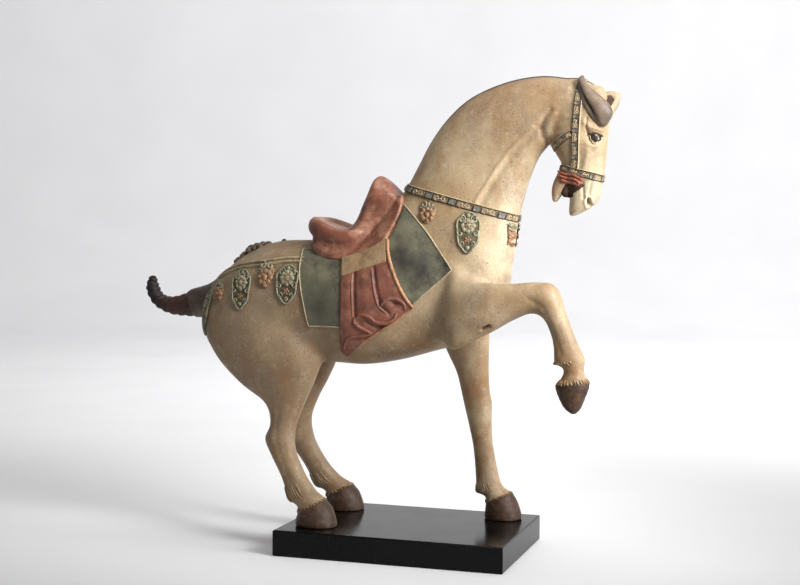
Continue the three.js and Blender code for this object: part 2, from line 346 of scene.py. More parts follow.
def plate(
    bm: bmesh.types.BMesh,
    outline: Outline,
    thick: float,
    round_mm: float = 0.6,
    step: float = 3.0,
    sunk: float = 1.2,
    strokes: tuple[Stroke, ...] = (),
) -> None:
    """Adds a flat panel with a rounded edge, cut fine enough to follow a curve.

    Args:
        bm: The mesh to add to.
        outline: Its outline, x and z.
        thick: How far it stands up.
        round_mm: How far its upper edge is rounded.
        step: The size of its facets.
        sunk: How far its underside lies below what it is laid on.
        strokes: Modelling of its upper face.
    """
    part = bmesh.new()
    face = part.faces.new([part.verts.new((x, -sunk, z)) for x, z in outline])
    raised = bmesh.ops.extrude_face_region(part, geom=[face])["geom"]
    risen = [item for item in raised if isinstance(item, bmesh.types.BMVert)]
    bmesh.ops.translate(part, verts=risen, vec=(0, thick + sunk, 0))
    top = next(item for item in raised if isinstance(item, bmesh.types.BMFace))
    if round_mm:
        bmesh.ops.bevel(
            part, geom=list(top.edges), offset=round_mm, offset_type="OFFSET", segments=2, profile=0.5,
            affect="EDGES", clamp_overlap=True, material=-1,
        )
    xs, zs = zip(*outline)
    for axis, low, high in ((Vector((1, 0, 0)), min(xs), max(xs)), (Vector((0, 0, 1)), min(zs), max(zs))):
        for k in range(math.floor(low / step) + 1, math.ceil(high / step)):
            everything = part.verts[:] + part.edges[:] + part.faces[:]
            bmesh.ops.bisect_plane(part, geom=everything, plane_co=axis * k * step, plane_no=axis, dist=1e-4)
    if strokes:
        upper = [vert for vert in part.verts if vert.co.y > thick - 0.05]
        flat = np.array([(vert.co.x, vert.co.z) for vert in upper])
        for vert, rise in zip(upper, sum(stroke.profile(flat) for stroke in strokes)):
            vert.co.y += rise
    pour(part, bm)


def cord(
    bm: bmesh.types.BMesh,
    path: Outline,
    radius: float,
    low: float = 0.0,
    ends: float = 0.5,
    hoop: bool = False,
) -> None:
    """Adds a round cord lying along a flat path.

    Args:
        bm: The mesh to add to.
        path: Points, x and z.
        radius: The cord's radius.
        low: The height of its middle.
        ends: Its thickness at the ends, as a share of its middle's.
        hoop: Whether it is a closed ring.
    """
    rings = []
    count = len(path)
    for i, (x, z) in enumerate(path):
        ahead = path[(i + 1) % count] if hoop else path[min(i + 1, count - 1)]
        behind = path[i - 1] if hoop or i else path[0]
        along = Vector((ahead[0] - behind[0], 0, ahead[1] - behind[1])).normalized()
        across = Vector((-along.z, 0, along.x))
        t = i / (count - 1)
        size = radius if hoop else radius * (ends + (1 - ends) * math.sin(math.pi * t) ** 0.5)
        rings.append(ring_about(Vector((x, low, z)), across * size, Vector((0, size, 0)), 8))
    sweep(bm, rings, hoop)


def knob(bm: bmesh.types.BMesh, x: float, z: float, radius: float, height: float, low: float = 0.0) -> None:
    """Adds a low round boss at x and z."""
    shape = Matrix.Translation((x, low, z)) @ Matrix.Diagonal((radius, height, radius, 1))
    bmesh.ops.create_uvsphere(bm, u_segments=12, v_segments=8, radius=1, matrix=shape)


def rosette(
    bm: bmesh.types.BMesh, x: float, z: float, radius: float, petals: int = 6, low: float = 1.0
) -> None:
    """Adds a flower of round petals about a boss."""
    knob(bm, x, z, radius * 0.42, radius * 0.36, low)
    reach = 0.68 * radius
    for k in range(petals):
        angle = 2 * math.pi * k / petals
        middle = (x + reach * math.cos(angle), z + reach * math.sin(angle))
        knob(bm, *middle, radius * 0.36, radius * 0.26, low)


def tablet(bm: bmesh.types.BMesh, x: float, z: float, length: float, breadth: float, height: float) -> None:
    """Adds a small block with a dished face, as on a plaque belt."""
    part = bmesh.new()
    shape = Matrix.Translation((x, height / 2, z)) @ Matrix.Diagonal((length, height + 1, breadth, 1))
    bmesh.ops.create_cube(part, size=1, matrix=shape)
    top = max(part.faces, key=lambda face: face.calc_center_median().y)
    bmesh.ops.inset_region(part, faces=[top], thickness=0.9, depth=0)
    bmesh.ops.translate(part, verts=top.verts, vec=(0, -0.5, 0))
    outer = {vert for vert in part.verts if vert.co.y > height and vert not in top.verts}
    rim = [edge for edge in part.edges if all(vert in outer for vert in edge.verts)]
    bmesh.ops.bevel(part, geom=rim, offset=0.3, segments=2, profile=0.5, affect="EDGES", material=-1)
    cuts = max(1, round(length / 4))
    long_edges = [edge for edge in part.edges if abs(edge.verts[0].co.x - edge.verts[1].co.x) > length * 0.5]
    bmesh.ops.subdivide_edges(part, edges=long_edges, cuts=cuts, use_grid_fill=True)
    pour(part, bm)


def curl(centre: Pair, radius: float, turns: float, start: float, count: int = 18) -> Outline:
    """A scroll that winds in to its centre.

    Args:
        centre: Its middle, x and z.
        radius: How far out it starts.
        turns: How many times it goes round; less than 0 turns the other way.
        start: Its first angle, in degrees.
        count: How many points it has.

    Returns:
        The path.
    """
    path = []
    for k in range(count):
        t = k / (count - 1)
        angle = math.radians(start) + 2 * math.pi * turns * t
        reach = radius * (1 - (1 - CURL_END) * t)
        path.append((centre[0] + reach * math.cos(angle), centre[1] + reach * math.sin(angle)))
    return tuple(path)


# ---------------------------------------------------------------- finishes


def linear(colour: str) -> tuple[float, float, float, float]:
    """A hex sRGB colour as linear RGBA.

    Args:
        colour: Six hex digits.

    Returns:
        Red, green, blue and 1, in linear light.
    """
    channels = [int(colour[i : i + 2], 16) / 255 for i in (0, 2, 4)]
    return (*(c / 12.92 if c <= 0.04045 else ((c + 0.055) / 1.055) ** 2.4 for c in channels), 1.0)


class Weave:
    """A material's node tree, filled a node at a time."""

    def __init__(self, name: str) -> None:
        """Starts a material with a Principled shader.

        Args:
            name: The material's name.
        """
        self.material = bpy.data.materials.new(name)
        self.material.use_nodes = True
        self.tree = self.material.node_tree
        self.shader = self.tree.nodes["Principled BSDF"]
        self.coords = self.node("ShaderNodeTexCoord").outputs["Object"]

    def node(self, kind: str, inputs: dict | None = None, **settings: object) -> bpy.types.Node:
        """Adds a node with its settings, values and links.

        Args:
            kind: The node's type.
            inputs: Input names or numbers, each with a value or an output to link.
            settings: The node's own properties.

        Returns:
            The node.
        """
        node = self.tree.nodes.new(kind)
        for key, value in settings.items():
            setattr(node, key, value)
        for key, value in (inputs or {}).items():
            if isinstance(value, bpy.types.NodeSocket):
                self.tree.links.new(value, node.inputs[key])
            else:
                node.inputs[key].default_value = value
        return node

    def noise(
        self, size_mm: float, detail: float = 4.0, roughness: float = 0.55, stretch: Place = (1, 1, 1)
    ) -> object:
        """A noise whose blotches are about a given size.

        Args:
            size_mm: The size of a blotch.
            detail: Octaves of finer noise.
            roughness: How strong the finer noise is.
            stretch: How much finer it runs along each axis.

        Returns:
            The noise's factor socket.
        """
        place = self.node("ShaderNodeMapping", {"Vector": self.coords, "Scale": stretch}).outputs[0]
        scale = 1 / (size_mm * MM)
        values = {"Vector": place, "Scale": scale, "Detail": detail, "Roughness": roughness}
        return self.node("ShaderNodeTexNoise", values).outputs["Fac"]

    def between(self, value: object, low: float, high: float, top: float = 1.0) -> object:
        """A socket's value stretched so that low gives 0 and high gives top."""
        span = {"Value": value, "From Min": low, "From Max": high, "To Min": 0.0, "To Max": top}
        return self.node("ShaderNodeMapRange", span, clamp=True).outputs[0]

    def mix(self, factor: object, one: object, two: object) -> object:
        """Mixes two colours, each a hex string or a socket.

        Args:
            factor: The share of the second colour, a number or a socket.
            one: The first colour.
            two: The second colour.

        Returns:
            The mixed colour's socket.
        """
        mixer = self.node("ShaderNodeMix", data_type="RGBA")
        for socket, value in ((mixer.inputs[0], factor), (mixer.inputs[6], one), (mixer.inputs[7], two)):
            if isinstance(value, bpy.types.NodeSocket):
                self.tree.links.new(value, socket)
            else:
                socket.default_value = linear(value) if isinstance(value, str) else value
        return mixer.outputs[2]

    def times(self, one: object, two: object, operation: str = "MULTIPLY") -> object:
        """Combines two values, multiplied unless another operation is named."""
        return self.node("ShaderNodeMath", {0: one, 1: two}, operation=operation).outputs[0]

    def attribute(self, name: str) -> object:
        """The value that a mesh carries under a name."""
        return self.node("ShaderNodeAttribute", attribute_name=name).outputs["Fac"]

    def finish(
        self,
        colour: object,
        roughness: object,
        height: object = None,
        depth_mm: float = 0.2,
        specular: float = 0.5,
    ) -> bpy.types.Material:
        """Joins colour, roughness and bump to the shader.

        Args:
            colour: The base colour's socket.
            roughness: A number or a socket.
            height: The bump's socket, if it has one.
            depth_mm: How deep the bump is.
            specular: How strongly the surface mirrors.

        Returns:
            The finished material.
        """
        self.tree.links.new(colour, self.shader.inputs["Base Color"])
        self.shader.inputs["Specular IOR Level"].default_value = specular
        if isinstance(roughness, bpy.types.NodeSocket):
            self.tree.links.new(roughness, self.shader.inputs["Roughness"])
        else:
            self.shader.inputs["Roughness"].default_value = roughness
        if height is not None:
            bump = self.node("ShaderNodeBump", {"Height": height, "Distance": depth_mm * MM, "Strength": 1.0})
            self.tree.links.new(bump.outputs[0], self.shader.inputs["Normal"])
        return self.material


@dataclass(frozen=True)
class ClaySlip:
    """Cream slip brushed over fired clay, rubbed thin and stained by burial: matt and finely pitted. Painted
    shade darkens the skin's furrows and, with the clay's own greyer tone, the hindquarters; a painted
    highlight, with paler slip, lights the breast.
    """

    name: str = "cream_slip_on_clay"
    cream: str = "b3a081"
    tan: str = "9b8360"
    pale: str = "cdbfa2"
    ash: str = "786b5c"
    rust: str = "805a34"
    earth_and_crease_shade: str = "38271a"
    brown: str = "835a2f"
    hind_grey_and_shade: str = "7d6b55"
    roughness: float = 0.55

    def make(self) -> bpy.types.Material:
        """Builds the material."""
        w = Weave(self.name)
        colour = w.mix(w.between(w.noise(70, 3), 0.36, 0.64), self.cream, self.tan)
        height = w.node("ShaderNodeSeparateXYZ", {"Vector": w.coords}).outputs["Z"]
        low = w.times(w.between(height, 0.33, 0.17), w.between(w.noise(34, 6, 0.65), 0.36, 0.6))
        colour = w.mix(w.times(low, 0.8), colour, self.brown)
        along = w.node("ShaderNodeSeparateXYZ", {"Vector": w.coords}).outputs["X"]
        # the hindquarters greyer and darker: partly the clay's own tone, partly painted shade for the light
        # falling off towards the rear
        hind = w.times(w.between(along, 0.02, -0.14), w.between(w.noise(60, 4), 0.25, 0.55))
        colour = w.mix(w.times(hind, 0.75), colour, self.hind_grey_and_shade)
        crest = w.times(w.between(height, 0.46, 0.53), w.between(along, 0.19, 0.16))
        colour = w.mix(w.times(crest, 0.5), colour, self.brown)
        # the breast paler: partly pale slip, partly a painted highlight where the key light strikes it
        breast = w.times(w.between(along, 0.07, 0.13), w.between(height, 0.30, 0.35))
        breast = w.times(breast, w.between(height, 0.47, 0.41))
        colour = w.mix(w.times(breast, 0.7), colour, self.pale)
        ashen = w.between(w.noise(48, 7, 0.66), 0.48, 0.66, 0.62)
        colour = w.mix(ashen, colour, self.ash)
        runs = w.between(w.noise(30, 6, 0.65, (1, 1, 0.4)), 0.5, 0.68, 0.6)
        colour = w.mix(runs, colour, self.rust)
        worn = w.between(w.noise(10, 8, 0.75), 0.53, 0.7, 0.36)
        colour = w.mix(worn, colour, self.pale)
        grain = w.noise(1.5, 5, 0.75)
        colour = w.mix(w.between(grain, 0.44, 0.68, 0.42), colour, self.rust)
        clusters = w.between(w.noise(22, 4), 0.42, 0.62)
        pits = w.between(w.noise(1.6, 2, 0.5), 0.60, 0.68)
        colour = w.mix(w.times(w.times(pits, clusters), 0.75), colour, self.earth_and_crease_shade)
        # painted shade: the skin's furrows, as the hollow attribute marks them, darkened to the earth brown
        # of the pits
        colour = w.mix(w.attribute("hollow"), colour, self.earth_and_crease_shade)
        height = w.times(grain, w.times(pits, -0.8), "ADD")
        return w.finish(colour, self.roughness, height, 0.16)


@dataclass(frozen=True)
class Paint:
    """Earth paint on clay: a body colour rubbed pale in patches, with dirt in others and in its grain."""

    name: str
    body: str
    rubbed: str
    dirt: str
    roughness: float = 0.6
    patch_mm: float = 22.0
    rubbed_share: float = 0.55
    dirt_share: float = 0.6

    def make(self) -> bpy.types.Material:
        """Builds the material."""
        w = Weave(self.name)
        worn = w.between(w.noise(self.patch_mm * 0.6, 6, 0.65), 0.46, 0.64, self.rubbed_share)
        colour = w.mix(worn, self.body, self.rubbed)
        dirty = w.between(w.noise(self.patch_mm, 6, 0.62), 0.5, 0.64, self.dirt_share)
        colour = w.mix(dirty, colour, self.dirt)
        grain = w.noise(1.6, 5, 0.7)
        colour = w.mix(w.between(grain, 0.52, 0.7, 0.55), colour, self.dirt)
        colour = w.mix(w.attribute("worn"), colour, self.rubbed)
        colour = w.mix(w.attribute("hollow"), colour, self.dirt)
        return w.finish(colour, self.roughness, grain, 0.15)


@dataclass(frozen=True)
class Lacquer:
    """Black lacquer on a sanded board: a deep gloss with a faint haze and the odd fine scuff."""

    name: str = "black_lacquer_on_board"
    black: str = "0a0a0b"
    haze: str = "111112"

    def make(self) -> bpy.types.Material:
        """Builds the material."""
        w = Weave(self.name)
        haze = w.noise(40, 4, 0.6)
        colour = w.mix(w.between(haze, 0.4, 0.7, 0.5), self.black, self.haze)
        span = {"Value": haze, "From Min": 0.35, "From Max": 0.7, "To Min": 0.1, "To Max": 0.2}
        rough = w.node("ShaderNodeMapRange", span).outputs[0]
        return w.finish(colour, rough, w.noise(9, 3, 0.5), 0.01, 0.12)


class Palette:
    """The painter's colours, made once and shared."""

    def __init__(self) -> None:
        """Makes every finish."""
        self.slip = ClaySlip().make()
        self.lacquer = Lacquer().make()
        self.horn = Paint("burnished_brown_clay", "3a2413", "68482b", "1a0f08", 0.6, 10, 0.6, 0.6).make()
        self.hair = Paint("dark_red_hair_paint", "3f231a", "63392b", "140c08", 0.6, 24, 0.35, 0.85).make()
        self.root = Paint("grey_brown_skin_paint", "54463a", "75634f", "2c221b", 0.5, 16).make()
        self.mane = Paint("brown_hair_paint", "33271e", "54432f", "1c140f", 0.65, 18).make()
        self.lock = Paint("tan_hair_paint", "8d7353", "ab9170", "4a3624", 0.6, 12).make()
        self.ear = Paint("grey_brown_paint", "6a5a4c", "8a7863", "3d322a", 0.5, 20).make()
        self.boss = Paint("dark_brown_paint", "5a4536", "7d6551", "32241b", 0.5, 10).make()
        # a dark brown, used as painted shade in the ears' hollows and the open mouth, and for the painted
        # lines under the upper lids
        self.hollow = Paint("shade_and_eye_line_brown", "3a2417", "5c3f29", "1e120a", 0.85, 10).make()
        self.eye = Paint("glossy_brown_paint", "2c211b", "4a3c33", "120d0a", 0.12, 8, 0.4, 0.5).make()
        self.saddle = Paint("red_earth_paint", "7c4936", "b58a6c", "4c281b", 0.42, 30, 0.6, 0.6).make()
        self.skirt = Paint("faded_red_paint", "794634", "966a58", "45281d", 0.55, 20).make()
        self.hem = Paint("orange_tan_paint", "a3764f", "ba9070", "6e4530", 0.55, 14).make()
        self.tan = Paint("tan_paint", "947957", "ab906b", "5f4830", 0.6, 16).make()
        self.green = Paint("grey_green_paint", "5f5d4a", "837c62", "2a2620", 0.6, 44, 0.6, 1.0).make()
        self.rim = Paint("buff_paint", "a59678", "c2b494", "6d5f46", 0.6, 12).make()
        self.soot = Paint("soot_brown_ground", "41342a", "66543f", "1e1611", 0.65, 8, 0.4, 0.5).make()
        self.recess = Paint("olive_brown_paint", "51492f", "7b7150", "261f14", 0.65, 5, 0.5, 0.7).make()
        self.plaque = Paint("ochre_paint", "826a4c", "a68d68", "3f2e1e", 0.55, 6, 0.5, 0.9).make()
        self.stud = Paint("blue_grey_paint", "656259", "8b887c", "2c2a26", 0.5, 5, 0.5, 0.8).make()
        self.scroll = Paint("pale_green_paint", "87836a", "b0a888", "3b3628", 0.55, 4, 0.6, 0.9).make()
        self.flower = Paint("orange_red_paint", "8b6444", "b59571", "4a3320", 0.55, 4, 0.7, 0.9).make()
        self.lip = Paint("mouth_red_paint", "93503a", "bb8268", "4a241a", 0.45, 5, 0.6, 0.6).make()


# ---------------------------------------------------------------- the horse's skin

TRUNK: tuple[Station, ...] = (
    (-259, 262, -258, 290, 0, 10),
    (-252, 234, -246, 306, 0, 34),
    (-234, 215, -228, 326, 0, 47),
    (-205, 205, -204, 344, 0, 55),
    (-155, 210, -165, 359, 0, 58),
    (-100, 216, -108, 361, 0, 59),
    (-55, 215, -66, 363, 0, 60),
    (-15, 221, -38, 379, 0, 58),
    (25, 232, -18, 404, 0, 53),
    (72, 248, -3, 426, 0, 47),
    (110, 286, 9, 449, 0, 41),
    (120, 340, 24, 476, 0, 35),
    (125, 380, 45, 503, 0, 30),
    (135, 420, 72, 525, 0, 27),
    (147, 453, 112, 541, 0, 25),
    (160, 470, 152, 547, 0, 23),
    (180, 488, 188, 543, 0, 20),
)
HEAD: tuple[Station, ...] = (
    (178, 532, 203, 540, 0, 12),
    (162, 514, 223, 521, 0, 20),
    (159, 490, 228, 497, 0, 24),
    (165, 468, 227, 473, 0, 22),
    (176, 448, 225, 451, 0, 17),
    (181, 430, 222, 429, 0, 15),
    (185, 411, 219, 411, 0, 14.5),
    (184.5, 398, 209, 400, 0, 13),
    (185.5, 389.5, 195, 392.5, 0, 7),
)
LOWER_JAW: tuple[Station, ...] = (
    (180, 452, 202, 440, 0, 12),
    (168, 433, 190, 425, 0, 11),
    (164.5, 420, 178, 416, 0, 9.5),
    (165.5, 406, 171, 407, 0, 6),
)
TAIL: tuple[Station, ...] = (
    (-236, 268, -238, 319, 0, 16),
    (-262, 265.5, -258, 305, 0, 15),
    (-288, 265, -285, 296, 0, 13.5),
    (-312, 267.5, -308, 290, 0, 11.5),
    (-333, 278, -322, 293, 0, 10.5),
    (-344, 297, -327.5, 303, 0, 9),
    (-341, 314, -331, 315, 0, 6),
)
HIND_LEG: tuple[Station, ...] = (
    (-222, 300, -150, 310, 27, 26),
    (-247, 258, -118, 272, 31, 29),
    (-233, 223, -99, 226, 34, 27),
    (-204, 191, -109, 196, 31, 20),
    (-175, 169, -121, 172, 28, 16),
    (-166, 151, -129.5, 152, 28, 14),
    (-165, 138, -132.5, 140, 31, 13.5),
    (-169.5, 125, -132.5, 129, 34, 13.5),
    (-159, 106, -129, 112, 39, 12),
    (-144, 82, -116, 88, 44, 11.5),
    (-136, 64, -103.5, 73, 48, 12.5),
    (-131, 56, -98, 68, 50, 13.5),
    (-121, 52, -91, 64, 52, 14),
    (-119, 43, -86, 59.5, 53.5, 16.5),
)
STANDING_FORELEG: tuple[Station, ...] = (
    (22, 262, 88, 278, 30, 20),
    (31, 232, 84, 245, 41, 18),
    (43, 205, 81.5, 208, 46, 16.5),
    (49, 177, 82, 183, 50, 15),
    (52, 162, 84.5, 168, 52, 14.5),
    (56.5, 143, 84, 147, 53, 13.5),
    (62, 115, 85, 120, 55, 12),
    (64.5, 82, 91, 87, 57.5, 11.5),
    (65, 66, 94.5, 73, 58.5, 12.5),
    (66.5, 60, 98, 68, 59, 13),
    (76, 56, 102, 64.5, 59.5, 13.5),
    (77, 48, 108.5, 60.5, 60, 16.5),
)
RAISED_FORELEG: tuple[Station, ...] = (
    (45, 255, 62, 345, 30, 22),
    (58, 236, 74, 325, 38, 22),
    (78, 245, 86, 317, 42, 21),
    (101, 256, 104, 315, 44, 19),
    (130, 273, 132, 315, 45, 16.5),
    (152, 282, 158, 317, 45, 15.5),
    (166, 277, 180, 312, 45, 15),
    (174, 262, 193, 279, 45, 12),
    (178, 246, 202, 256, 45, 11.5),
    (178.5, 229, 212.5, 234, 45, 13.5),
    (180, 227, 212.5, 229, 45, 13.5),
    (189, 223, 212, 222, 45, 12.5),
    (188, 214, 213, 216, 45, 13),
    (180.5, 203, 218.5, 206, 45, 17),
)
LEFT_HIND_SHIFT = -4.5
FORELOCK: tuple[Station, ...] = (
    (172, 520, 182, 544.5, 0, 15),
    (185, 524, 194, 544, 0, 12),
    (196, 526, 204, 541, 0, 9),
    (206, 524, 212, 536.5, 0, 10),
    (215, 520, 221, 534, 0, 9),
    (222, 516, 226.5, 523, 0, 5),
)
SOLE = 30.3  # the hooves stand this high, just clear of the plinth's top
HIND_HOOF: tuple[Station, ...] = (
    (-119, 44, -86, 60.5, 53.5, 16.5),
    (-121, 38, -78.4, 51, 54, 19.6),
    (-121.6, 33, -72.6, 35, 54.5, 20.9),
    (-120.6, SOLE, -73, SOLE, 54.5, 20),
)
FORE_HOOF: tuple[Station, ...] = (
    (77, 49, 108.5, 61.5, 60, 16.5),
    (76, 38, 114.8, 50.5, 60, 19.7),
    (75.4, 33, 119.8, 35, 60.5, 20.9),
    (76.4, SOLE, 119.2, SOLE, 60.5, 20),
)
RAISED_HOOF: tuple[Station, ...] = (
    (180.2, 204.5, 218.2, 207.5, 45, 16.5),
    (181, 199, 217.5, 201, 45, 16.8),
    (184.5, 190, 213.5, 190, 45, 15.5),
    (190, 180, 209, 179, 45, 12.5),
    (197, 174, 204.5, 173.8, 45, 7),
    (200, 172.8, 202, 172.8, 45, 2),
)


@dataclass
class Track:
    """A line on the skin, with the skin's facing and the line's own breadth direction all along it."""

    points: list[Vector]
    facings: list[Vector]
    breadths: list[Vector]
    hoop: bool

    @property
    def spacing(self) -> float:
        """The mean distance from point to point, in millimetres."""
        return self.length / (len(self.points) - (0 if self.hoop else 1))

    @property
    def length(self) -> float:
        """The line's length in millimetres."""
        ring = self.points + self.points[:1] if self.hoop else self.points
        return sum((b - a).length for a, b in zip(ring, ring[1:])) / MM

    def lay(self, bm: bmesh.types.BMesh) -> bmesh.types.BMesh:
        """Bends flat work round the line: its x follows the line and its z the line's breadth."""
        count = len(self.points)
        spacing = self.spacing
        for vert in bm.verts:
            place = vert.co.x / spacing
            i = math.floor(place)
            f = place - i
            if self.hoop:
                i, j = i % count, (i + 1) % count
            else:
                i, j = max(0, min(i, count - 1)), max(0, min(i + 1, count - 1))
            point = self.points[i].lerp(self.points[j], f)
            facing = self.facings[i].lerp(self.facings[j], f)
            breadth = self.breadths[i].lerp(self.breadths[j], f)
            vert.co = point + (facing * vert.co.y + breadth * vert.co.z) * MM
        return bm


@dataclass
class Skin:
    """The horse's own skin: trunk, neck, head and legs fused and modelled as one, in two pieces.

    The neck and head are cut finer than the trunk, and the collar hides the seam.
    """

    body_facet_mm: float = 1.55
    head_facet_mm: float = 0.95
    seam: tuple[Pair, Pair] = ((57, 405.5), (1, -0.267))
    strokes: tuple[Stroke, ...] = ()
    form: bpy.types.Object = field(init=False, default=None)
    tree: BVHTree = field(init=False, default=None)
    form_tree: BVHTree = field(init=False, default=None)

    def limbs(self) -> tuple[Limb, ...]:
        """The forms that are fused."""
        return (
            Limb(TRUNK, segments=48, power=2.25),
            Limb(HEAD, segments=40),
            Limb(LOWER_JAW, segments=24),
            Limb(FORELOCK, segments=20),
            Limb(HIND_LEG, Side.RIGHT),
            Limb(HIND_LEG, Side.LEFT, LEFT_HIND_SHIFT),
            Limb(STANDING_FORELEG, Side.LEFT),
            Limb(RAISED_FORELEG, Side.RIGHT),
        )

    def build(self, finish: bpy.types.Material) -> None:
        """Fuses, models and dresses the skin."""
        bm = bmesh.new()
        for limb in self.limbs():
            limb.add_to(bm)
        self.form = new_piece("form", bm, finish)
        fuse(self.form, 2.2)
        self.blend_joins()
        self.form_tree = self.tree_of([self.form])
        body = self.part("body_skin", finish, self.body_facet_mm, 1)
        head = self.part("neck_and_head_skin", finish, self.head_facet_mm, -1)
        for piece in (body, head):
            self.model(piece)
            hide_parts("horse")
            keep(piece)
        self.tree = self.tree_of([body, head])

    def part(
        self, name: str, finish: bpy.types.Material, facet_mm: float, keep_below: int
    ) -> bpy.types.Object:
        """Cuts the form at the collar and fuses one side of it more finely.

        Args:
            name: The piece's name.
            finish: The slip.
            facet_mm: The size of a facet.
            keep_below: 1 for the side below the collar and -1 for the side above.

        Returns:
            The piece.
        """
        piece = bpy.data.objects.new(name, self.form.data.copy())
        bpy.context.scene.collection.objects.link(piece)
        fuse(piece, facet_mm, 3)
        (x, z), (dx, dz) = self.seam
        bm = bmesh.new()
        bm.from_mesh(piece.data)
        cut = bmesh.ops.bisect_plane(
            bm, geom=bm.verts[:] + bm.edges[:] + bm.faces[:], dist=MERGE,
            plane_co=Vector((x, 0, z)) * MM, plane_no=Vector((-dz, 0, dx)) * keep_below, clear_outer=True,
        )["geom_cut"]
        rim = [item for item in cut if isinstance(item, bmesh.types.BMEdge)]
        bmesh.ops.holes_fill(bm, edges=rim, sides=0)
        bmesh.ops.recalc_face_normals(bm, faces=bm.faces)
        bm.to_mesh(piece.data)
        bm.free()
        piece.data.materials.clear()
        piece.data.materials.append(finish)
        piece.data.shade_smooth()
        piece.data.set_sharp_from_angle(angle=SKIN_SHARP)
        return piece

    def blend_joins(self) -> None:
        """Smooths the creases where one form grows out of another."""
        joins = (
            ((-170, 275), 62, 26), ((-115, 232), 34, 26), ((55, 300), 66, 26), ((70, 250), 44, 22),
            ((40, 292), 44, 30), ((172, 500), 30, 12), ((176, 446), 8, 6), ((200, 530), 14, 6),
        )
        bm = bmesh.new()
        bm.from_mesh(self.form.data)
        for (x, z), radius, passes in joins:
            near = []
            for turn in range(passes):
                reach = radius * MM * (1 - 0.5 * turn / passes)
                if turn % 6 == 0:
                    near = [v for v in bm.verts if (v.co.x - x * MM) ** 2 + (v.co.z - z * MM) ** 2 < reach**2]
                bmesh.ops.smooth_vert(
                    bm, verts=near, factor=0.5, use_axis_x=True, use_axis_y=True, use_axis_z=True,
                )
        bm.to_mesh(self.form.data)
        bm.free()

    def model(self, piece: bpy.types.Object) -> None:
        """Runs every stroke over a piece, and darkens its deeper furrows by their depth as painted shade."""
        mesh = piece.data
        place, facing = places_of(mesh)
        lift = sum((stroke.lift(place, facing) for stroke in self.strokes), np.zeros(len(place)))
        place = (place + facing * lift[:, None]) * MM
        mesh.vertices.foreach_set("co", place.astype(np.float32).ravel())
        # painted shade: every furrow deeper than 1.9 mm gets darker the deeper it is, carried in the hollow
        # attribute
        dirt = np.clip((-lift - 1.9) * 0.4, 0, 0.7).astype(np.float32)
        mesh.attributes.new("hollow", "FLOAT", "POINT").data.foreach_set("value", dirt)
        mesh.update()

    def tree_of(self, pieces: list[bpy.types.Object]) -> BVHTree:
        """A search tree over the faces of some pieces, in metres."""
        verts: list[Vector] = []
        faces: list[tuple[int, ...]] = []
        for piece in pieces:
            first = len(verts)
            verts += [vert.co.copy() for vert in piece.data.vertices]
            faces += [tuple(first + i for i in poly.vertices) for poly in piece.data.polygons]
        return BVHTree.FromPolygons(verts, faces)

    def facing(self, point: Vector) -> Vector:
        """The form's own smooth facing near a point."""
        index = self.form_tree.find_nearest(point)[2]
        corners = [self.form.data.vertices[i].normal for i in self.form.data.polygons[index].vertices]
        return sum(corners, Vector()).normalized()

    def meet(self, start: Vector, ahead: Vector) -> tuple[Vector, Vector]:
        """Where a line of sight meets the skin, and the skin's facing there.

        Args:
            start: A point outside the horse, in metres.
            ahead: The direction of sight.

        Returns:
            The point and the facing. A sight that misses gives the nearest point to its middle.
        """
        hit = self.tree.ray_cast(start, ahead)[0]
        if hit is None:
            hit = self.tree.find_nearest(start + ahead * MISS_DEPTH)[0]
        return hit, self.facing(hit)

    def lay(self, bm: bmesh.types.BMesh, view: View, droop: float = 0.0) -> bmesh.types.BMesh:
        """Lays flat work on the skin.

        Args:
            bm: The flat work.
            view: The side of the horse it is laid on.
            droop: How far its facing is turned up towards the view's own, from 0 to 1.

        Returns:
            The same mesh, now in place and in metres.
        """
        outward, across, up = (Vector(axis) for axis in view.value)
        for vert in bm.verts:
            start = (across * vert.co.x + up * vert.co.z) * MM + outward * FAR
            point, facing = self.meet(start, -outward)
            facing = facing.lerp(outward, droop).normalized()
            vert.co = point + facing * vert.co.y * MM
        return bm

    def track(self, path: Outline, side: Side, breadth_up: Vector = Vector((0, 0, 1))) -> Track:
        """A line on one flank through points given in side view."""
        outward = Vector((0, side.value, 0))
        points, facings = [], []
        for x, z in smooth_path(path, 12 * len(path)):
            point, facing = self.meet(Vector((x, 0, z)) * MM + outward * FAR, -outward)
            points.append(point)
            facings.append(facing)
        return self.framed(points, facings, False, breadth_up)

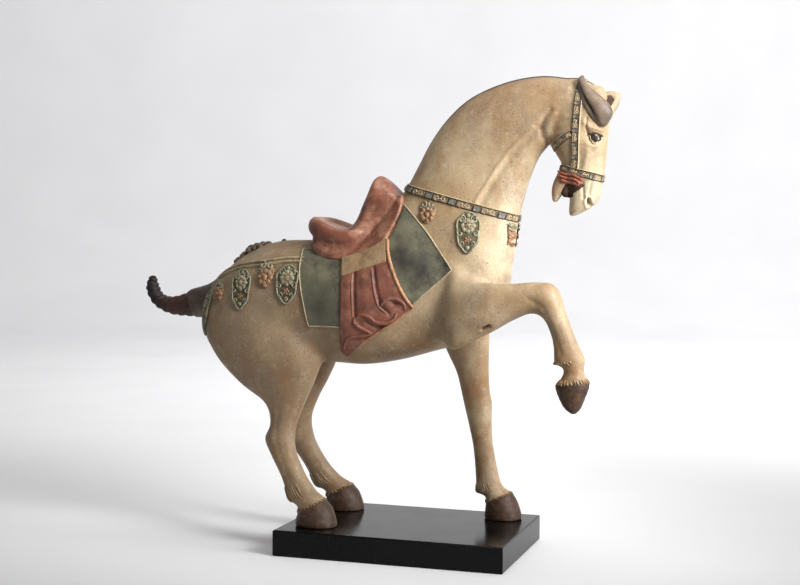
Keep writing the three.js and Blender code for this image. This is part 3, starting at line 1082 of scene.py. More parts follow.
    def girdle(
        self, through: Pair, along: Pair, start: float = -1e9, breadth_up: Vector = Vector((0, 0, 1))
    ) -> Track:
        """A line round the horse, where a plane across it cuts its skin.

        Args:
            through: A point of the plane in side view.
            along: The plane's direction in side view.
            start: How far along that direction from the point the line starts. It closes if it runs
                all the way round.
            breadth_up: The direction the line's breadth points in.

        Returns:
            The line.
        """
        direction = Vector((along[0], 0, along[1])).normalized()
        bm = bmesh.new()
        bm.from_mesh(self.form.data)
        origin = Vector((through[0], 0, through[1])) * MM
        cut = bmesh.ops.bisect_plane(
            bm, geom=bm.verts[:] + bm.edges[:] + bm.faces[:], dist=1e-7,
            plane_co=origin, plane_no=direction.cross(Vector((0, 1, 0))),
        )["geom_cut"]
        edges = {e for e in cut if isinstance(e, bmesh.types.BMEdge)}
        seed = min((v for e in edges for v in e.verts), key=lambda v: (v.co - origin).length)
        loop, here, came = [], seed, None
        while True:
            loop.append(here.co.copy())
            onward = [e for e in here.link_edges if e in edges and e is not came]
            if not onward:
                break
            came = onward[0]
            here = came.other_vert(here)
            if here is seed:
                break
        bm.free()
        hoop = True
        far_enough = [(p - origin).dot(direction) / MM >= start for p in loop]
        if not all(far_enough):
            hoop = False
            turn = next(i for i in range(len(loop)) if far_enough[i] and not far_enough[i - 1])
            loop = [p for p in loop[turn:] + loop[:turn] if (p - origin).dot(direction) / MM >= start]
        return self.framed(*self.settled(self.spaced(loop, hoop), hoop), hoop, breadth_up)

    def spaced(self, loop: list[Vector], hoop: bool, step_mm: float = 2.0) -> list[Vector]:
        """A line's points, evenly spaced."""
        ring = np.array(loop + loop[:1] if hoop else loop)
        reach = np.concatenate([[0], np.cumsum(np.linalg.norm(np.diff(ring, axis=0), axis=1))])
        count = max(6, round(reach[-1] / (step_mm * MM)))
        places = np.linspace(0, reach[-1], count, endpoint=not hoop)
        return [Vector(np.array([np.interp(s, reach, ring[:, k]) for k in range(3)])) for s in places]

    def settled(self, points: list[Vector], hoop: bool) -> tuple[list[Vector], list[Vector]]:
        """A line's points evened out and put back on the skin, with its facings evened out."""
        def even(row: list[Vector], passes: int) -> list[Vector]:
            """Rubs the jumps out of a row of vectors."""
            for _ in range(passes):
                after = row[1:] + (row[:1] if hoop else row[-1:])
                before = (row[-1:] if hoop else row[:1]) + row[:-1]
                row = [(a + 2 * b + c) / 4 for a, b, c in zip(before, row, after)]
            return row

        points = [self.tree.find_nearest(point)[0] for point in even(points, 3)]
        facings = [facing.normalized() for facing in even([self.facing(point) for point in points], 4)]
        return even(points, 2), facings

    def framed(self, points: list[Vector], facings: list[Vector], hoop: bool, breadth_up: Vector) -> Track:
        """Gives a line its breadth direction at each point."""
        breadths = []
        count = len(points)
        for i, facing in enumerate(facings):
            ahead = points[(i + 1) % count] if hoop else points[min(i + 1, count - 1)]
            behind = points[i - 1] if hoop or i else points[0]
            breadth = facing.cross(ahead - behind).normalized()
            breadths.append(breadth if breadth.dot(breadth_up) > 0 else -breadth)
        return Track(points, facings, breadths, hoop)


MODELLING: tuple[Stroke, ...] = (
    # the neck's long muscle and the furrow in front of it
    Stroke(((84, 406), (106, 443), (125, 468), (146, 489)), 2.4, 1.2),
    Stroke(((90, 405), (112, 442), (131, 467), (152, 488)), 4.5, -1.7),
    # the round edge of the cheek and the furrow behind it
    Stroke(((166, 508), (160, 501), (156, 491), (156.5, 479), (163, 469)), 3.2, -2.0),
    Stroke(((170, 502), (165, 495), (163, 485), (167, 474)), 4.5, 1.2),
    Stroke(((188, 466), (191, 452)), 6.0, -1.0),
    # the eye's socket, brow and lids
    Stroke(((207, 482), (214, 477), (221, 478)), 5.5, -1.6),
    Stroke(((204, 494), (211, 488), (221, 486)), 2.8, 1.5),
    Stroke(((207, 470), (215, 467), (223, 473)), 2.4, 0.8),
    Stroke(((207, 498), (206, 489), (209, 481)), 1.2, -1.6),
    # the face's long bone
    Stroke(((208, 463), (205, 450), (203, 442)), 3.0, 1.1),
    Stroke(((216, 460), (214, 440)), 4.0, -0.7),
    # nostril: its hole, its rim and the furrows above it
    Stroke(((209.5, 402), (208.5, 408.5)), 2.1, -4.2),
    Stroke(((205.5, 399), (204.6, 406), (206.5, 412), (211, 411), (213, 404)), 1.3, 1.1),
    Stroke(((203, 411), (202, 428)), 1.7, -1.5),
    Stroke(((209, 415), (212, 430)), 1.7, -0.9),
    # upper lip
    Stroke(((190, 426), (188, 410), (188, 396)), 1.8, -0.8),
    # shoulder, breast and elbow
    Stroke(((22, 400), (30, 366), (46, 334)), 9.0, -0.8),
    Stroke(((70, 372), (92, 338), (96, 306)), 16.0, 1.4),
    Stroke(((48, 262), (70, 258), (92, 262)), 8.0, -1.2, (Side.RIGHT,)),
    # a chip in the clay under the raised forearm
    Stroke(((100, 263), (107, 267)), 1.7, -5.0, (Side.RIGHT,)),
    # flank, stifle and thigh
    Stroke(((-92, 258), (-104, 238), (-112, 222)), 10.0, -1.3),
    Stroke(((-178, 250), (-160, 216), (-150, 190)), 14.0, 0.9),
    Stroke(((-196, 206), (-178, 176), (-168, 156)), 5.0, -0.9),
    # hock and the sinew behind the hind cannon
    Stroke(((-150, 160), (-153, 140), (-146, 112), (-130, 80)), 3.0, -0.7),
    Stroke(((-160, 132), (-150, 126)), 7.0, 1.1),
    # knee and sinew of the standing foreleg
    Stroke(((60, 148), (68, 110), (72, 80)), 2.6, -1.1),
    Stroke(((66, 166), (76, 164)), 7.0, 1.0),
    # knee and sinew of the raised foreleg
    Stroke(((168, 300), (176, 296)), 8.0, 0.9),
    Stroke(((150, 300), (168, 290), (180, 262), (188, 240)), 2.6, -0.7, (Side.RIGHT,)),
)


# ---------------------------------------------------------------- head, feet and tail


@dataclass
class Feet:
    """Four hooves, with hair hatched round the back of each fetlock and over the hoof's top."""

    locks: int = 21
    fringe: int = 30

    def build(self, colours: Palette) -> None:
        """Builds the hooves and the hair."""
        feet = (
            ("right_hind", HIND_LEG, HIND_HOOF, Side.RIGHT, 0.0, (0.74, 0.86)),
            ("left_hind", HIND_LEG, HIND_HOOF, Side.LEFT, LEFT_HIND_SHIFT, (0.74, 0.86)),
            ("left_fore", STANDING_FORELEG, FORE_HOOF, Side.LEFT, 0.0, (0.71, 0.84)),
            ("right_fore", RAISED_FORELEG, RAISED_HOOF, Side.RIGHT, 0.0, (0.7, 0.785)),
        )
        for name, leg, hoof, side, shift, fetlock in feet:
            bm = bmesh.new()
            Limb(hoof, side, shift, segments=44, rings=5, ripple=0.5, ripples=8).add_to(bm)
            keep(new_piece(f"{name}_hoof", bm, colours.horn))
            bm = bmesh.new()
            limb = Limb(leg, side, shift)
            self.hair(bm, limb, fetlock, (0.42 * math.pi, 1.58 * math.pi), self.locks)
            self.hair(bm, limb, (0.955, 1.0), (0.0, 2 * math.pi), self.fringe)
            keep(new_piece(f"{name}_hair", bm, colours.lock))

    def hair(self, bm: bmesh.types.BMesh, leg: Limb, along: Pair, around: Pair, count: int) -> None:
        """Adds a row of locks that lie down the leg.

        Args:
            bm: The mesh to add to.
            leg: The leg they lie on.
            along: Where they start and end down the leg, as shares of its length.
            around: The first and last angle round it.
            count: How many there are.
        """
        for k in range(count):
            angle = around[0] + (around[1] - around[0]) * (k + 0.5) / count
            rings = []
            for i in range(6):
                t = i / 5
                place = along[0] + (along[1] - along[0]) * (t + 0.12 * math.sin(2.4 * k))
                place = min(place, 0.995)
                middle = leg.point(place, angle + 0.12 * t, 0.1 + 0.45 * math.sin(math.pi * t))
                ahead = leg.point(min(1.0, place + 0.01), angle) - leg.point(place - 0.01, angle)
                out = (leg.point(place, angle, 1.0) - leg.point(place, angle)).normalized()
                across = out.cross(ahead.normalized()).normalized()
                size = MM * (0.2 + 0.75 * math.sin(math.pi * min(1, t + 0.15)) ** 0.6)
                rings.append(ring_about(middle, across * size, out * size * 0.9, 6))
            sweep(bm, rings)


@dataclass
class Tail:
    """A bound tail, curled up at its tip, with its cords standing in ridges."""

    tip: tuple[Station, ...] = (
        (-341, 312, -331, 313, 0, 6),
        (-337, 314.8, -335, 314.8, 0, 0.8),
    )
    sheath: tuple[Station, ...] = (
        (-246, 268, -240, 318, 0, 18),
        (-258, 265, -256, 307.5, 0, 17),
        (-270, 264.6, -268, 303, 0, 15.8),
        (-276, 265, -281, 299.5, 0, 14.8),
        (-277, 270, -287, 296, 0, 12),
    )
    turns: int = 15

    def build(self, colours: Palette) -> None:
        """Builds the tail and the sheath of skin round its root."""
        bm = bmesh.new()
        bound = Limb(
            TAIL[:-1] + self.tip, segments=40, rings=22, grow=-0.4, ripple=1.4, ripples=self.turns, slant=0.5,
        )
        bound.add_to(bm)
        tail = new_piece("tail", bm, colours.hair)
        mark(tail, "hollow", lambda place: np.clip((-302 - place[:, 0]) / 30, 0, 0.9))
        keep(tail)
        bm = bmesh.new()
        Limb(self.sheath, segments=36, rings=6).add_to(bm)
        keep(new_piece("tail_root", bm, colours.root))


@dataclass
class Head:
    """Ears, eyes, mouth and mane."""

    right_ear: tuple[Station, ...] = (
        (220, 489.5, 228, 490, 15, 4),
        (211, 497.5, 235, 503, 17, 8.5),
        (205, 507.5, 231, 514, 18, 9),
        (199.5, 519, 219.5, 525, 17.5, 8),
        (196.5, 531, 208, 535, 16, 6),
        (194.5, 541, 203, 543, 14, 4),
        (198, 546.4, 201, 546.6, 12, 1),
    )
    left_ear: tuple[Station, ...] = (
        (204, 512, 226, 500, 12, 9),
        (212, 527, 231, 507, 17, 9),
        (224, 531.5, 235.5, 516, 21, 6.5),
        (236.4, 530, 237.6, 528.4, 24, 0.8),
    )
    ear_wall: float = 2.2
    eye: Pair = (216.6, 477.4)
    lid_droop: float = 0.3
    lip_droop: float = 0.5
    teeth: tuple[Station, ...] = (
        (178, 442, 192, 440, 0, 9),
        (175, 430, 189, 428, 0, 10),
        (174, 419, 187, 417, 0, 9),
        (178, 412, 186, 411, 0, 7),
    )

    def build(self, skin: Skin, colours: Palette) -> None:
        """Builds each part of the head."""
        self.ears(colours)
        self.eyes(skin, colours)
        self.mouth(skin, colours)
        self.mane(skin, colours)

    def ears(self, colours: Palette) -> None:
        """The right ear laid back, and the left one pricked forward, each with a dark inner solid showing in
        its groove as painted shade.
        """
        ears = (
            ("right", self.right_ear, Side.RIGHT, (4.1, 0.2, 0.34), colours.ear),
            ("left", self.left_ear, Side.LEFT, (4.6, 0.75, 0.75), colours.slip),
        )
        for name, stations, side, slit, finish in ears:
            bm = bmesh.new()
            Limb(stations, side, segments=56, rings=9, power=2.0, slit=slit).add_to(bm)
            keep(new_piece(f"{name}_ear", bm, finish))
            # painted shade: a dark inner solid that fills the ear's groove
            bm = bmesh.new()
            Limb(stations[:-1], side, segments=32, rings=7, power=2.0, grow=-self.ear_wall).add_to(bm)
            keep(new_piece(f"{name}_ear_hollow", bm, colours.hollow))

    def eyes(self, skin: Skin, colours: Palette) -> None:
        """Almond eyeballs in rolled lids."""
        x, z = self.eye
        upper = ((x - 7, z + 3), (x - 3, z + 4.6), (x + 2, z + 3.6), (x + 6, z + 1.6))
        lower = ((x - 7, z + 3), (x - 5, z - 2), (x - 1.6, z - 6.4), (x + 2.6, z - 2.8), (x + 6, z + 1.6))

        def ball(bm: bmesh.types.BMesh) -> None:
            """An eyeball."""
            shape = Matrix.Translation((x - 0.6, -0.6, z)) @ Matrix.Diagonal((6.4, 4.0, 6.0, 1))
            bmesh.ops.create_uvsphere(bm, u_segments=28, v_segments=18, radius=1, matrix=shape)

        def lids(bm: bmesh.types.BMesh) -> None:
            """The rolled lids."""
            cord(bm, smooth_path(tuple((px, pz + 1.7) for px, pz in upper), 14), 1.3, 1.3)
            cord(bm, smooth_path(lower, 16), 0.8, 1.2)

        def lash(bm: bmesh.types.BMesh) -> None:
            """The dark line under the upper lid."""
            cord(bm, smooth_path(upper, 14), 1.15, 2.2)

        lay_both(skin, "eyes", ball, colours.eye, self.lid_droop)
        lay_both(skin, "eyelids", lids, colours.slip, self.lid_droop)
        lay_both(skin, "eye_lines", lash, colours.hollow, self.lid_droop)

    def mouth(self, skin: Skin, colours: Palette) -> None:
        """The inside of the open mouth and the gap between the lips, both dark as painted shade, and the red
        folds at its corners.
        """
        bm = bmesh.new()
        # painted shade: a dark solid inside the open mouth
        Limb(self.teeth, segments=24, rings=4).add_to(bm)
        keep(new_piece("mouth_inside_shade", bm, colours.hollow))
        corner = (
            (171, 443), (184, 440.5), (200, 437), (203, 429),
            (197, 423.5), (186, 427), (177, 427), (172, 434),
        )
        folds = (
            ((171, 441), (181, 437.5), (192, 436), (201, 431)),
            ((173, 436.5), (183, 433), (193, 431.5), (199, 427)),
            ((177, 431), (186, 428.5), (195, 426.5)),
        )
        # the outline of a thin dark sheet, painted shadow in the gap between the lips
        gape_shadow = ((182.5, 430), (200, 428), (204, 424.5), (199, 420), (191.5, 416), (187, 411), (183.6, 412))

        def corners(bm: bmesh.types.BMesh) -> None:
            """The red folds."""
            plate(bm, corner, 1.2, 0.6, 2.0, 3.0)
            for fold in folds:
                cord(bm, smooth_path(fold, 16), 1.6, 1.7, 0.6)

        def gape_shadows(bm: bmesh.types.BMesh) -> None:
            """A thin dark sheet laid on the skin as the painted shadow in the gap between the lips."""
            plate(bm, gape_shadow, 0.35, 0.2, 1.5, 2.0)

        lay_both(skin, "mouth_corners", corners, colours.lip, self.lip_droop)
        lay_both(skin, "mouth_gape_shadow", gape_shadows, colours.hollow)

    def mane(self, skin: Skin, colours: Palette) -> None:
        """A hogged mane: a low dark ridge along the crest."""
        rings = []
        centre, count = Vector((150, 0, 400)), 120
        for k in range(count + 1):
            t = k / count
            swing = math.radians(172 - 106 * t)
            out = Vector((math.cos(swing), 0, math.sin(swing)))
            top = skin.tree.ray_cast((centre + out * 320) * MM, -out)[0]
            face = skin.facing(top)
            rise = Vector((face.x, 0, face.z)).normalized()
            size = 0.3 + 0.7 * math.sin(math.pi * t) ** 0.35
            root = top - rise * 0.2 * MM
            rings.append(ring_about(root, Vector((0, 3.0 * size * MM, 0)), rise * 1.8 * size * MM, 8))
        bm = bmesh.new()
        sweep(bm, rings)
        keep(new_piece("mane", bm, colours.mane))


# ---------------------------------------------------------------- saddle and cloth


@dataclass
class Saddle:
    """A high-pommelled saddle with a rolled cantle, fused into one skin and modelled."""

    stations: tuple[Station, ...] = (
        (-112, 345, -115, 378, 0, 24),
        (-108, 334, -110, 384, 0, 40),
        (-96, 326, -98, 385, 0, 47),
        (-76, 322, -76, 381, 0, 49),
        (-58, 330, -62, 389, 0, 47),
        (-44, 340, -52, 413, 0, 42),
        (-32, 352, -42.5, 435.5, 0, 36),
        (-22, 366, -31, 433, 0, 33),
        (-10, 388, -15, 418, 0, 30),
    )
    roll: tuple[Place, ...] = (
        (-48, 371, -41), (-62, 366, -44.5), (-80, 366.5, -45),
        (-97, 372, -40), (-110, 377, -27), (-114, 378.5, 0),
    )
    roll_radius: float = 11.5
    flap: Outline = (
        (-104, 362), (-102, 347), (-94, 341), (-82, 338), (-68, 338), (-53, 342), (-37, 348), (-24, 355),
        (-16, 362), (-10, 374), (-4, 388), (-1, 402), (-2, 412), (-20, 412), (-40, 390), (-60, 372),
        (-90, 370),
    )
    dish: tuple[float, float, float, float] = (-82, 24, 24, 9)
    strokes: tuple[Stroke, ...] = (
        Stroke(((-104, 359), (-88, 352), (-72, 350)), 4.0, -1.0),
        Stroke(((-55, 400), (-49, 420), (-43, 428)), 5.0, 0.8),
        Stroke(((-28, 426), (-14, 410), (-6, 404)), 4.0, 0.9),
    )

    def build(self, skin: Skin, colours: Palette) -> None:
        """Builds the saddle and the flaps that reach down from it."""
        bm = bmesh.new()
        Limb(self.stations, segments=40, rings=8, egg=0.12).add_to(bm)
        for view in FLANKS:
            part = bmesh.new()
            plate(part, self.flap, 4.6, 1.4, 3.0, 3.0)
            pour(skin.lay(part, view), bm)
        sweep(bm, self.roll_rings())
        piece = new_piece("saddle", bm, colours.saddle)
        fuse(piece, 1.2, 9)
        self.model(piece)
        keep(piece)

    def roll_rings(self, count: int = 72) -> list[list[Vector]]:
        """The rings of the roll round the seat's back, from its right end to its left."""
        near = [np.array(row, float) for row in self.roll]
        path = np.array(near + [row * (1, 1, -1) for row in reversed(near[:-1])])
        rings = []
        for k in range(count + 1):
            t = k / count
            here = catmull(path, t)
            ahead = catmull(path, min(1, t + 0.01)) - catmull(path, max(0, t - 0.01))
            along = Vector((ahead[0], ahead[2], ahead[1])).normalized()
            out = along.cross(Vector((0, 0, 1))).normalized()
            up = out.cross(along)
            size = self.roll_radius * math.sin(math.pi * (k + 0.5) / (count + 1)) ** 0.4
            middle = Vector((here[0], here[2], here[1]))
            rings.append([point * MM for point in ring_about(middle, out * size * 0.8, up * size, 16)])
        return rings

    def model(self, piece: bpy.types.Object) -> None:
        """Dishes the seat and runs the strokes."""
        mesh = piece.data
        place, facing = places_of(mesh)
        x, half_length, half_breadth, depth = self.dish
        bowl = np.exp(-(((place[:, 0] - x) / half_length) ** 2) - (place[:, 1] / half_breadth) ** 2)
        mark(piece, "worn", lambda _: np.clip(1.6 * bowl * (facing[:, 2] > 0.2), 0, 0.85))
        place[:, 2] -= depth * bowl * (place[:, 2] > 366)
        lift = sum(stroke.lift(place, facing) for stroke in self.strokes)
        place = (place + facing * lift[:, None]) * MM
        mesh.vertices.foreach_set("co", place.astype(np.float32).ravel())
        mesh.update()


@dataclass
class Cloth:
    """The saddle cloth: a green panel before and behind, and a pleated red skirt with a tan band."""

    front: Outline = (
        (-15, 360), (-8, 372), (1, 402), (16, 387), (32, 369),
        (46, 349), (61, 328), (39, 309), (17, 290), (0, 290),
    )
    rear: Outline = ((-122, 350), (-119, 320), (-107, 262), (-68, 262), (-62, 300), (-66, 345))
    skirt: Outline = (
        (-69, 345), (-67, 318), (-66, 284), (-69, 250), (-71, 234), (-67, 229), (-62, 229), (-57, 234),
        (-47, 242), (-32, 252), (-18, 261), (-5, 269), (15, 286), (0, 311), (-8, 330), (-13, 349), (-15, 362),
    )
    band: Outline = ((-70, 345), (-66, 319), (-14, 337), (-15, 364))
    hem: Outline = ((-14, 362), (-12, 346), (-6.5, 328), (1, 310), (9, 296), (16.5, 286))
    lower_hem: Outline = ((16.5, 286), (-5, 269), (-18, 261), (-32, 252), (-47, 242))
    pleats: tuple[Outline, ...] = (
        ((-51, 323), (-50, 300), (-49, 274)),
        ((-28, 330), (-24, 304), (-19, 287), (-10, 279)),
    )
    scrolls: tuple[Outline, ...] = (
        ((-49, 274), (-50, 268), (-44, 263), (-36, 259), (-31, 256)),
        ((-48, 272), (-42, 277), (-33, 275), (-25, 269), (-14, 268), (-5, 273), (-2, 280)),
        ((-19, 287), (-14, 294), (-4, 296), (6, 291), (8, 283)),
        ((-66, 238), (-62, 247), (-53, 252), (-42, 253), (-31, 256)),
    )
    hole: Pair = (-4.5, 290.5)

    def smoke(self, place: np.ndarray) -> np.ndarray:
        """How dark each point of the panels is, in a smudge behind and two before."""
        smudges = (((-92, 284), (15, 24)), ((24, 334), (16, 16)), ((4, 342), (10, 22)))
        x, z = place[:, 0], place[:, 2]
        return 0.75 * sum(
            np.exp(-(((x - along) / a) ** 2) - ((z - up) / b) ** 2) for (along, up), (a, b) in smudges
        )

    def build(self, skin: Skin, colours: Palette) -> None:
        """Builds the cloth on both flanks."""
        pleat_strokes = tuple(Stroke(path, 1.9, -2.2) for path in self.pleats) + (
            Stroke(((-58, 316), (-58, 262)), 5.0, 0.8), Stroke(((-40, 322), (-36, 286)), 6.0, 1.0),
            Stroke(((-12, 322), (-4, 304)), 5.0, 0.8),
            Stroke((self.hole, (self.hole[0] + 2, self.hole[1])), 3.0, -2.8),
            Stroke(((-45, 268), (-38, 271), (-28, 265), (-14, 262)), 2.2, -2.2),
            Stroke(((-40, 250), (-26, 260), (-8, 270)), 2.6, -1.4),
        )
        ripple = (Stroke(((-20, 350), (30, 320)), 16.0, 0.5),)

        def panels(bm: bmesh.types.BMesh) -> None:
            """The green panels."""
            plate(bm, self.front, 1.6, 0.8, 3.0, strokes=ripple)
            plate(bm, self.rear, 1.6, 0.8, 3.0)

        def rims(bm: bmesh.types.BMesh) -> None:
            """The panels' raised buff rims."""
            cord(bm, smooth_path(self.front[2:7], 40), 1.1, 1.5)
            cord(bm, smooth_path(self.front[6:9], 24), 1.3, 1.5)
            cord(bm, smooth_path(self.rear[0:3], 30), 1.0, 1.4)
            cord(bm, smooth_path(self.rear[2:4], 14), 1.0, 1.4)

        def skirt(bm: bmesh.types.BMesh) -> None:
            """The pleated red skirt."""
            plate(bm, self.skirt, 3.4, 1.0, 1.6, strokes=pleat_strokes)

        def band(bm: bmesh.types.BMesh) -> None:
            """The tan band at the skirt's top."""
            plate(bm, self.band, 4.3, 0.8, 3.0)

        def hems(bm: bmesh.types.BMesh) -> None:
            """The skirt's pale hem."""
            cord(bm, smooth_path(self.hem, 36), 2.1, 3.2, 0.8)
            cord(bm, smooth_path(self.lower_hem, 30), 1.3, 2.9, 0.8)

        def folds(bm: bmesh.types.BMesh) -> None:
            """The cloth's rolled folds."""
            for path in self.scrolls:
                cord(bm, smooth_path(path, 26), 2.3, 3.2, 0.5)
            for path in self.pleats:
                cord(bm, smooth_path(tuple((x - 2.6, z) for x, z in path), 20), 1.25, 3.2, 0.4)

        mark(lay_both(skin, "cloth_panels", panels, colours.green), "hollow", self.smoke)
        lay_both(skin, "cloth_rims", rims, colours.rim)
        lay_both(skin, "cloth_skirt", skirt, colours.skirt)
        lay_both(skin, "cloth_band", band, colours.tan)
        lay_both(skin, "cloth_hems", hems, colours.hem)
        lay_both(skin, "cloth_folds", folds, colours.skirt)


def lay_both(
    skin: Skin,
    name: str,
    draw: Callable[[bmesh.types.BMesh], None],
    finish: bpy.types.Material,
    droop: float = 0.0,
    views: tuple[View, ...] = FLANKS,
) -> bpy.types.Object:
    """Draws flat work, lays it on both flanks or other views and keeps it as one piece.

    Args:
        skin: The skin it lies on.
        name: The piece's name.
        draw: Adds the flat work to a mesh.
        finish: The material it wears.
        droop: How far its facing is turned up towards each view's own.
        views: The sides of the horse it is laid on.

    Returns:
        The piece.
    """
    whole = bmesh.new()
    for view in views:
        part = bmesh.new()
        draw(part)
        pour(skin.lay(part, view, droop), whole)
    piece = new_piece(name, whole, finish)
    keep(piece)
    return piece


# ---------------------------------------------------------------- harness


@dataclass(frozen=True)
class Pendant:
    """A leaf-shaped harness pendant: a moulded plate with a scrolled rim and a flower on it."""

    x: float
    z: float
    breadth: float
    height: float
    scrolled: bool = True
    cap: Outline = ((-0.42, 0.3), (0.0, 0.2), (0.42, 0.3))

    def leaf(self, grow: float = 0.0) -> Outline:
        """The leaf's outline: a round shoulder and a narrow drop, with lobed sides."""
        points = []
        for k in range(36):
            angle = 2 * math.pi * k / 36
            taper = 1 - 0.34 * ((1 - math.cos(angle)) / 2) ** 1.3
            lobes = 1 + 0.045 * math.cos(6 * angle)
            points.append((
                self.x + (self.breadth / 2 + grow) * squared(math.sin(angle), 2.7) * taper * lobes,
                self.z + (self.height / 2 + grow) * math.cos(angle) * lobes,
            ))
        return tuple(points)

    def plate(self, bm: bmesh.types.BMesh) -> None:
        """Its plate."""
        plate(bm, self.leaf(), 1.8, 0.7, 3.0)

    def scroll(
        self, hand: int, across: float, up: float, reach: float, turns: float, start: float, count: int = 18
    ) -> Outline:
        """One scroll, with its place and reach as shares of the pendant's breadth and height."""
        centre = (self.x + hand * self.breadth * across, self.z + self.height * up)
        return curl(centre, self.breadth * reach, turns * hand, start, count=count)

    def scrolls(self, bm: bmesh.types.BMesh) -> None:
        """Its rim and the scrolls inside it, or the cap of a plain one."""
        b, h = self.breadth, self.height
        if not self.scrolled:
            for hand in (-1, 1):
                cord(bm, self.scroll(hand, 0.22, 0.44, 0.2, 0.9, 90), 1.3, 2.0)
            cap = tuple((self.x + b * across, self.z + h * up) for across, up in self.cap)
            cord(bm, smooth_path(cap, 12), 1.4, 2.0)
            return
        cord(bm, self.leaf(-0.6), 1.1, 1.8, hoop=True)
        rosette(bm, self.x, self.z + h * 0.17, b * 0.29, 8, 1.8)
        for hand in (-1, 1):
            cord(bm, self.scroll(hand, 0.23, 0.33, 0.15, 1.2, 90), 1.0, 2.1)
            cord(bm, self.scroll(hand, 0.29, -0.02, 0.12, -1.1, 90), 1.0, 2.1)
            cord(bm, self.scroll(hand, 0.19, -0.27, 0.1, 1.0, -90, 12), 0.9, 2.1)
        for rise in (0.43, 0.02, -0.38):
            knob(bm, self.x, self.z + h * rise, b * 0.07 + 0.4, 1.2, 2.0)

    def flowers(self, bm: bmesh.types.BMesh) -> None:
        """Its flower, and a smaller one below on a long pendant."""
        if self.scrolled:
            rosette(bm, self.x, self.z + self.height * 0.17, self.breadth * 0.18, 6, 2.6)
            rosette(bm, self.x, self.z - self.height * 0.18, self.breadth * 0.13, 5, 2.0)
            return
        rosette(bm, self.x, self.z - self.height * 0.06, self.breadth * 0.42, 8, 2.0)
        knob(bm, self.x, self.z - self.height * 0.38, self.breadth * 0.14, 1.4, 1.6)


def build_pendants(skin: Skin, name: str, pendants: tuple[Pendant, ...], colours: Palette) -> None:
    """Builds a row of pendants on both flanks, a piece for each colour.

    Args:
        skin: The skin they lie on.
        name: What their names start with.
        pendants: The row.
        colours: The painter's colours.
    """
    long = [pendant for pendant in pendants if pendant.scrolled]
    short = [pendant for pendant in pendants if not pendant.scrolled]
    lay_both(skin, f"{name}_pendants", lambda bm: [p.plate(bm) for p in long], colours.recess)
    lay_both(skin, f"{name}_drops", lambda bm: [p.plate(bm) for p in short], colours.flower)
    lay_both(skin, f"{name}_scrolls", lambda bm: [p.scrolls(bm) for p in pendants], colours.scroll)
    lay_both(skin, f"{name}_flowers", lambda bm: [p.flowers(bm) for p in pendants], colours.flower)


def strap_ring(breadth: float, thick: float, x: float, off: float) -> list[Vector]:
    """A strap's cross-section at a place along it, with cut upper corners, off to one side of its line."""
    half, sunk, corner = breadth / 2, 1.0, min(0.6, thick / 2)
    near = ((-half, -sunk), (-half, thick - corner), (-half + corner, thick))
    row = near + tuple((-z, y) for z, y in reversed(near))
    return [Vector((x, y, z + off)) for z, y in row]


def strap(bm: bmesh.types.BMesh, track: Track, breadth: float, thick: float, off: float = 0.0) -> None:
    """Adds a flat strap that follows a line, ready to be laid along it.

    Args:
        bm: The mesh to add to.
        track: The line.
        breadth: How wide the strap is.
        thick: How thick it is.
        off: How far it runs to one side of the line.
    """
    rings = [strap_ring(breadth, thick, k * track.spacing, off) for k in range(len(track.points))]
    sweep(bm, rings, track.hoop)


@dataclass
class PlaqueStrap:
    """A strap set with painted plaques and square studs in turn."""

    name: str
    track: Track
    breadth: float
    pitch: float
    plaque: float
    stud: float
    lip: float = 1.2

    def build(self, colours: Palette) -> None:
        """Builds the strap, its lip, its plaques and its studs."""
        count = max(1, round(self.track.length / self.pitch))
        pitch = self.track.length / count
        ground, edge, plaques, scrolls, studs = (bmesh.new() for _ in range(5))
        strap(ground, self.track, self.breadth - 0.6, 1.2)
        strap(edge, self.track, self.lip, 2.4, (self.breadth + self.lip) / 2 - 0.3)
        for k in range(count):
            middle = pitch * (k + 0.5)
            tablet(plaques, middle, 0, self.plaque, self.breadth * 0.7, 1.9)
            for hand in (-1, 1):
                place = (middle + hand * self.plaque * 0.22, hand * self.breadth * 0.04)
                reach = min(self.plaque, self.breadth * 2) * 0.19
                cord(scrolls, curl(place, reach, 1.1 * hand, 90 * hand, count=12), 0.55, 2.0)
            knob(scrolls, middle, 0, 0.8, 0.8, 1.9)
            if k or self.track.hoop:
                tablet(studs, pitch * k, 0, self.stud, self.breadth * 0.72, 2.4)
                rosette(studs, pitch * k, 0, self.stud * 0.36, 5, 2.0)
        for label, bm, finish in (
            ("ground", ground, colours.soot), ("lip", edge, colours.rim),
            ("plaques", plaques, colours.plaque), ("scrolls", scrolls, colours.rim),
            ("studs", studs, colours.stud),
        ):
            keep(new_piece(f"{self.name}_{label}", self.track.lay(bm), finish))


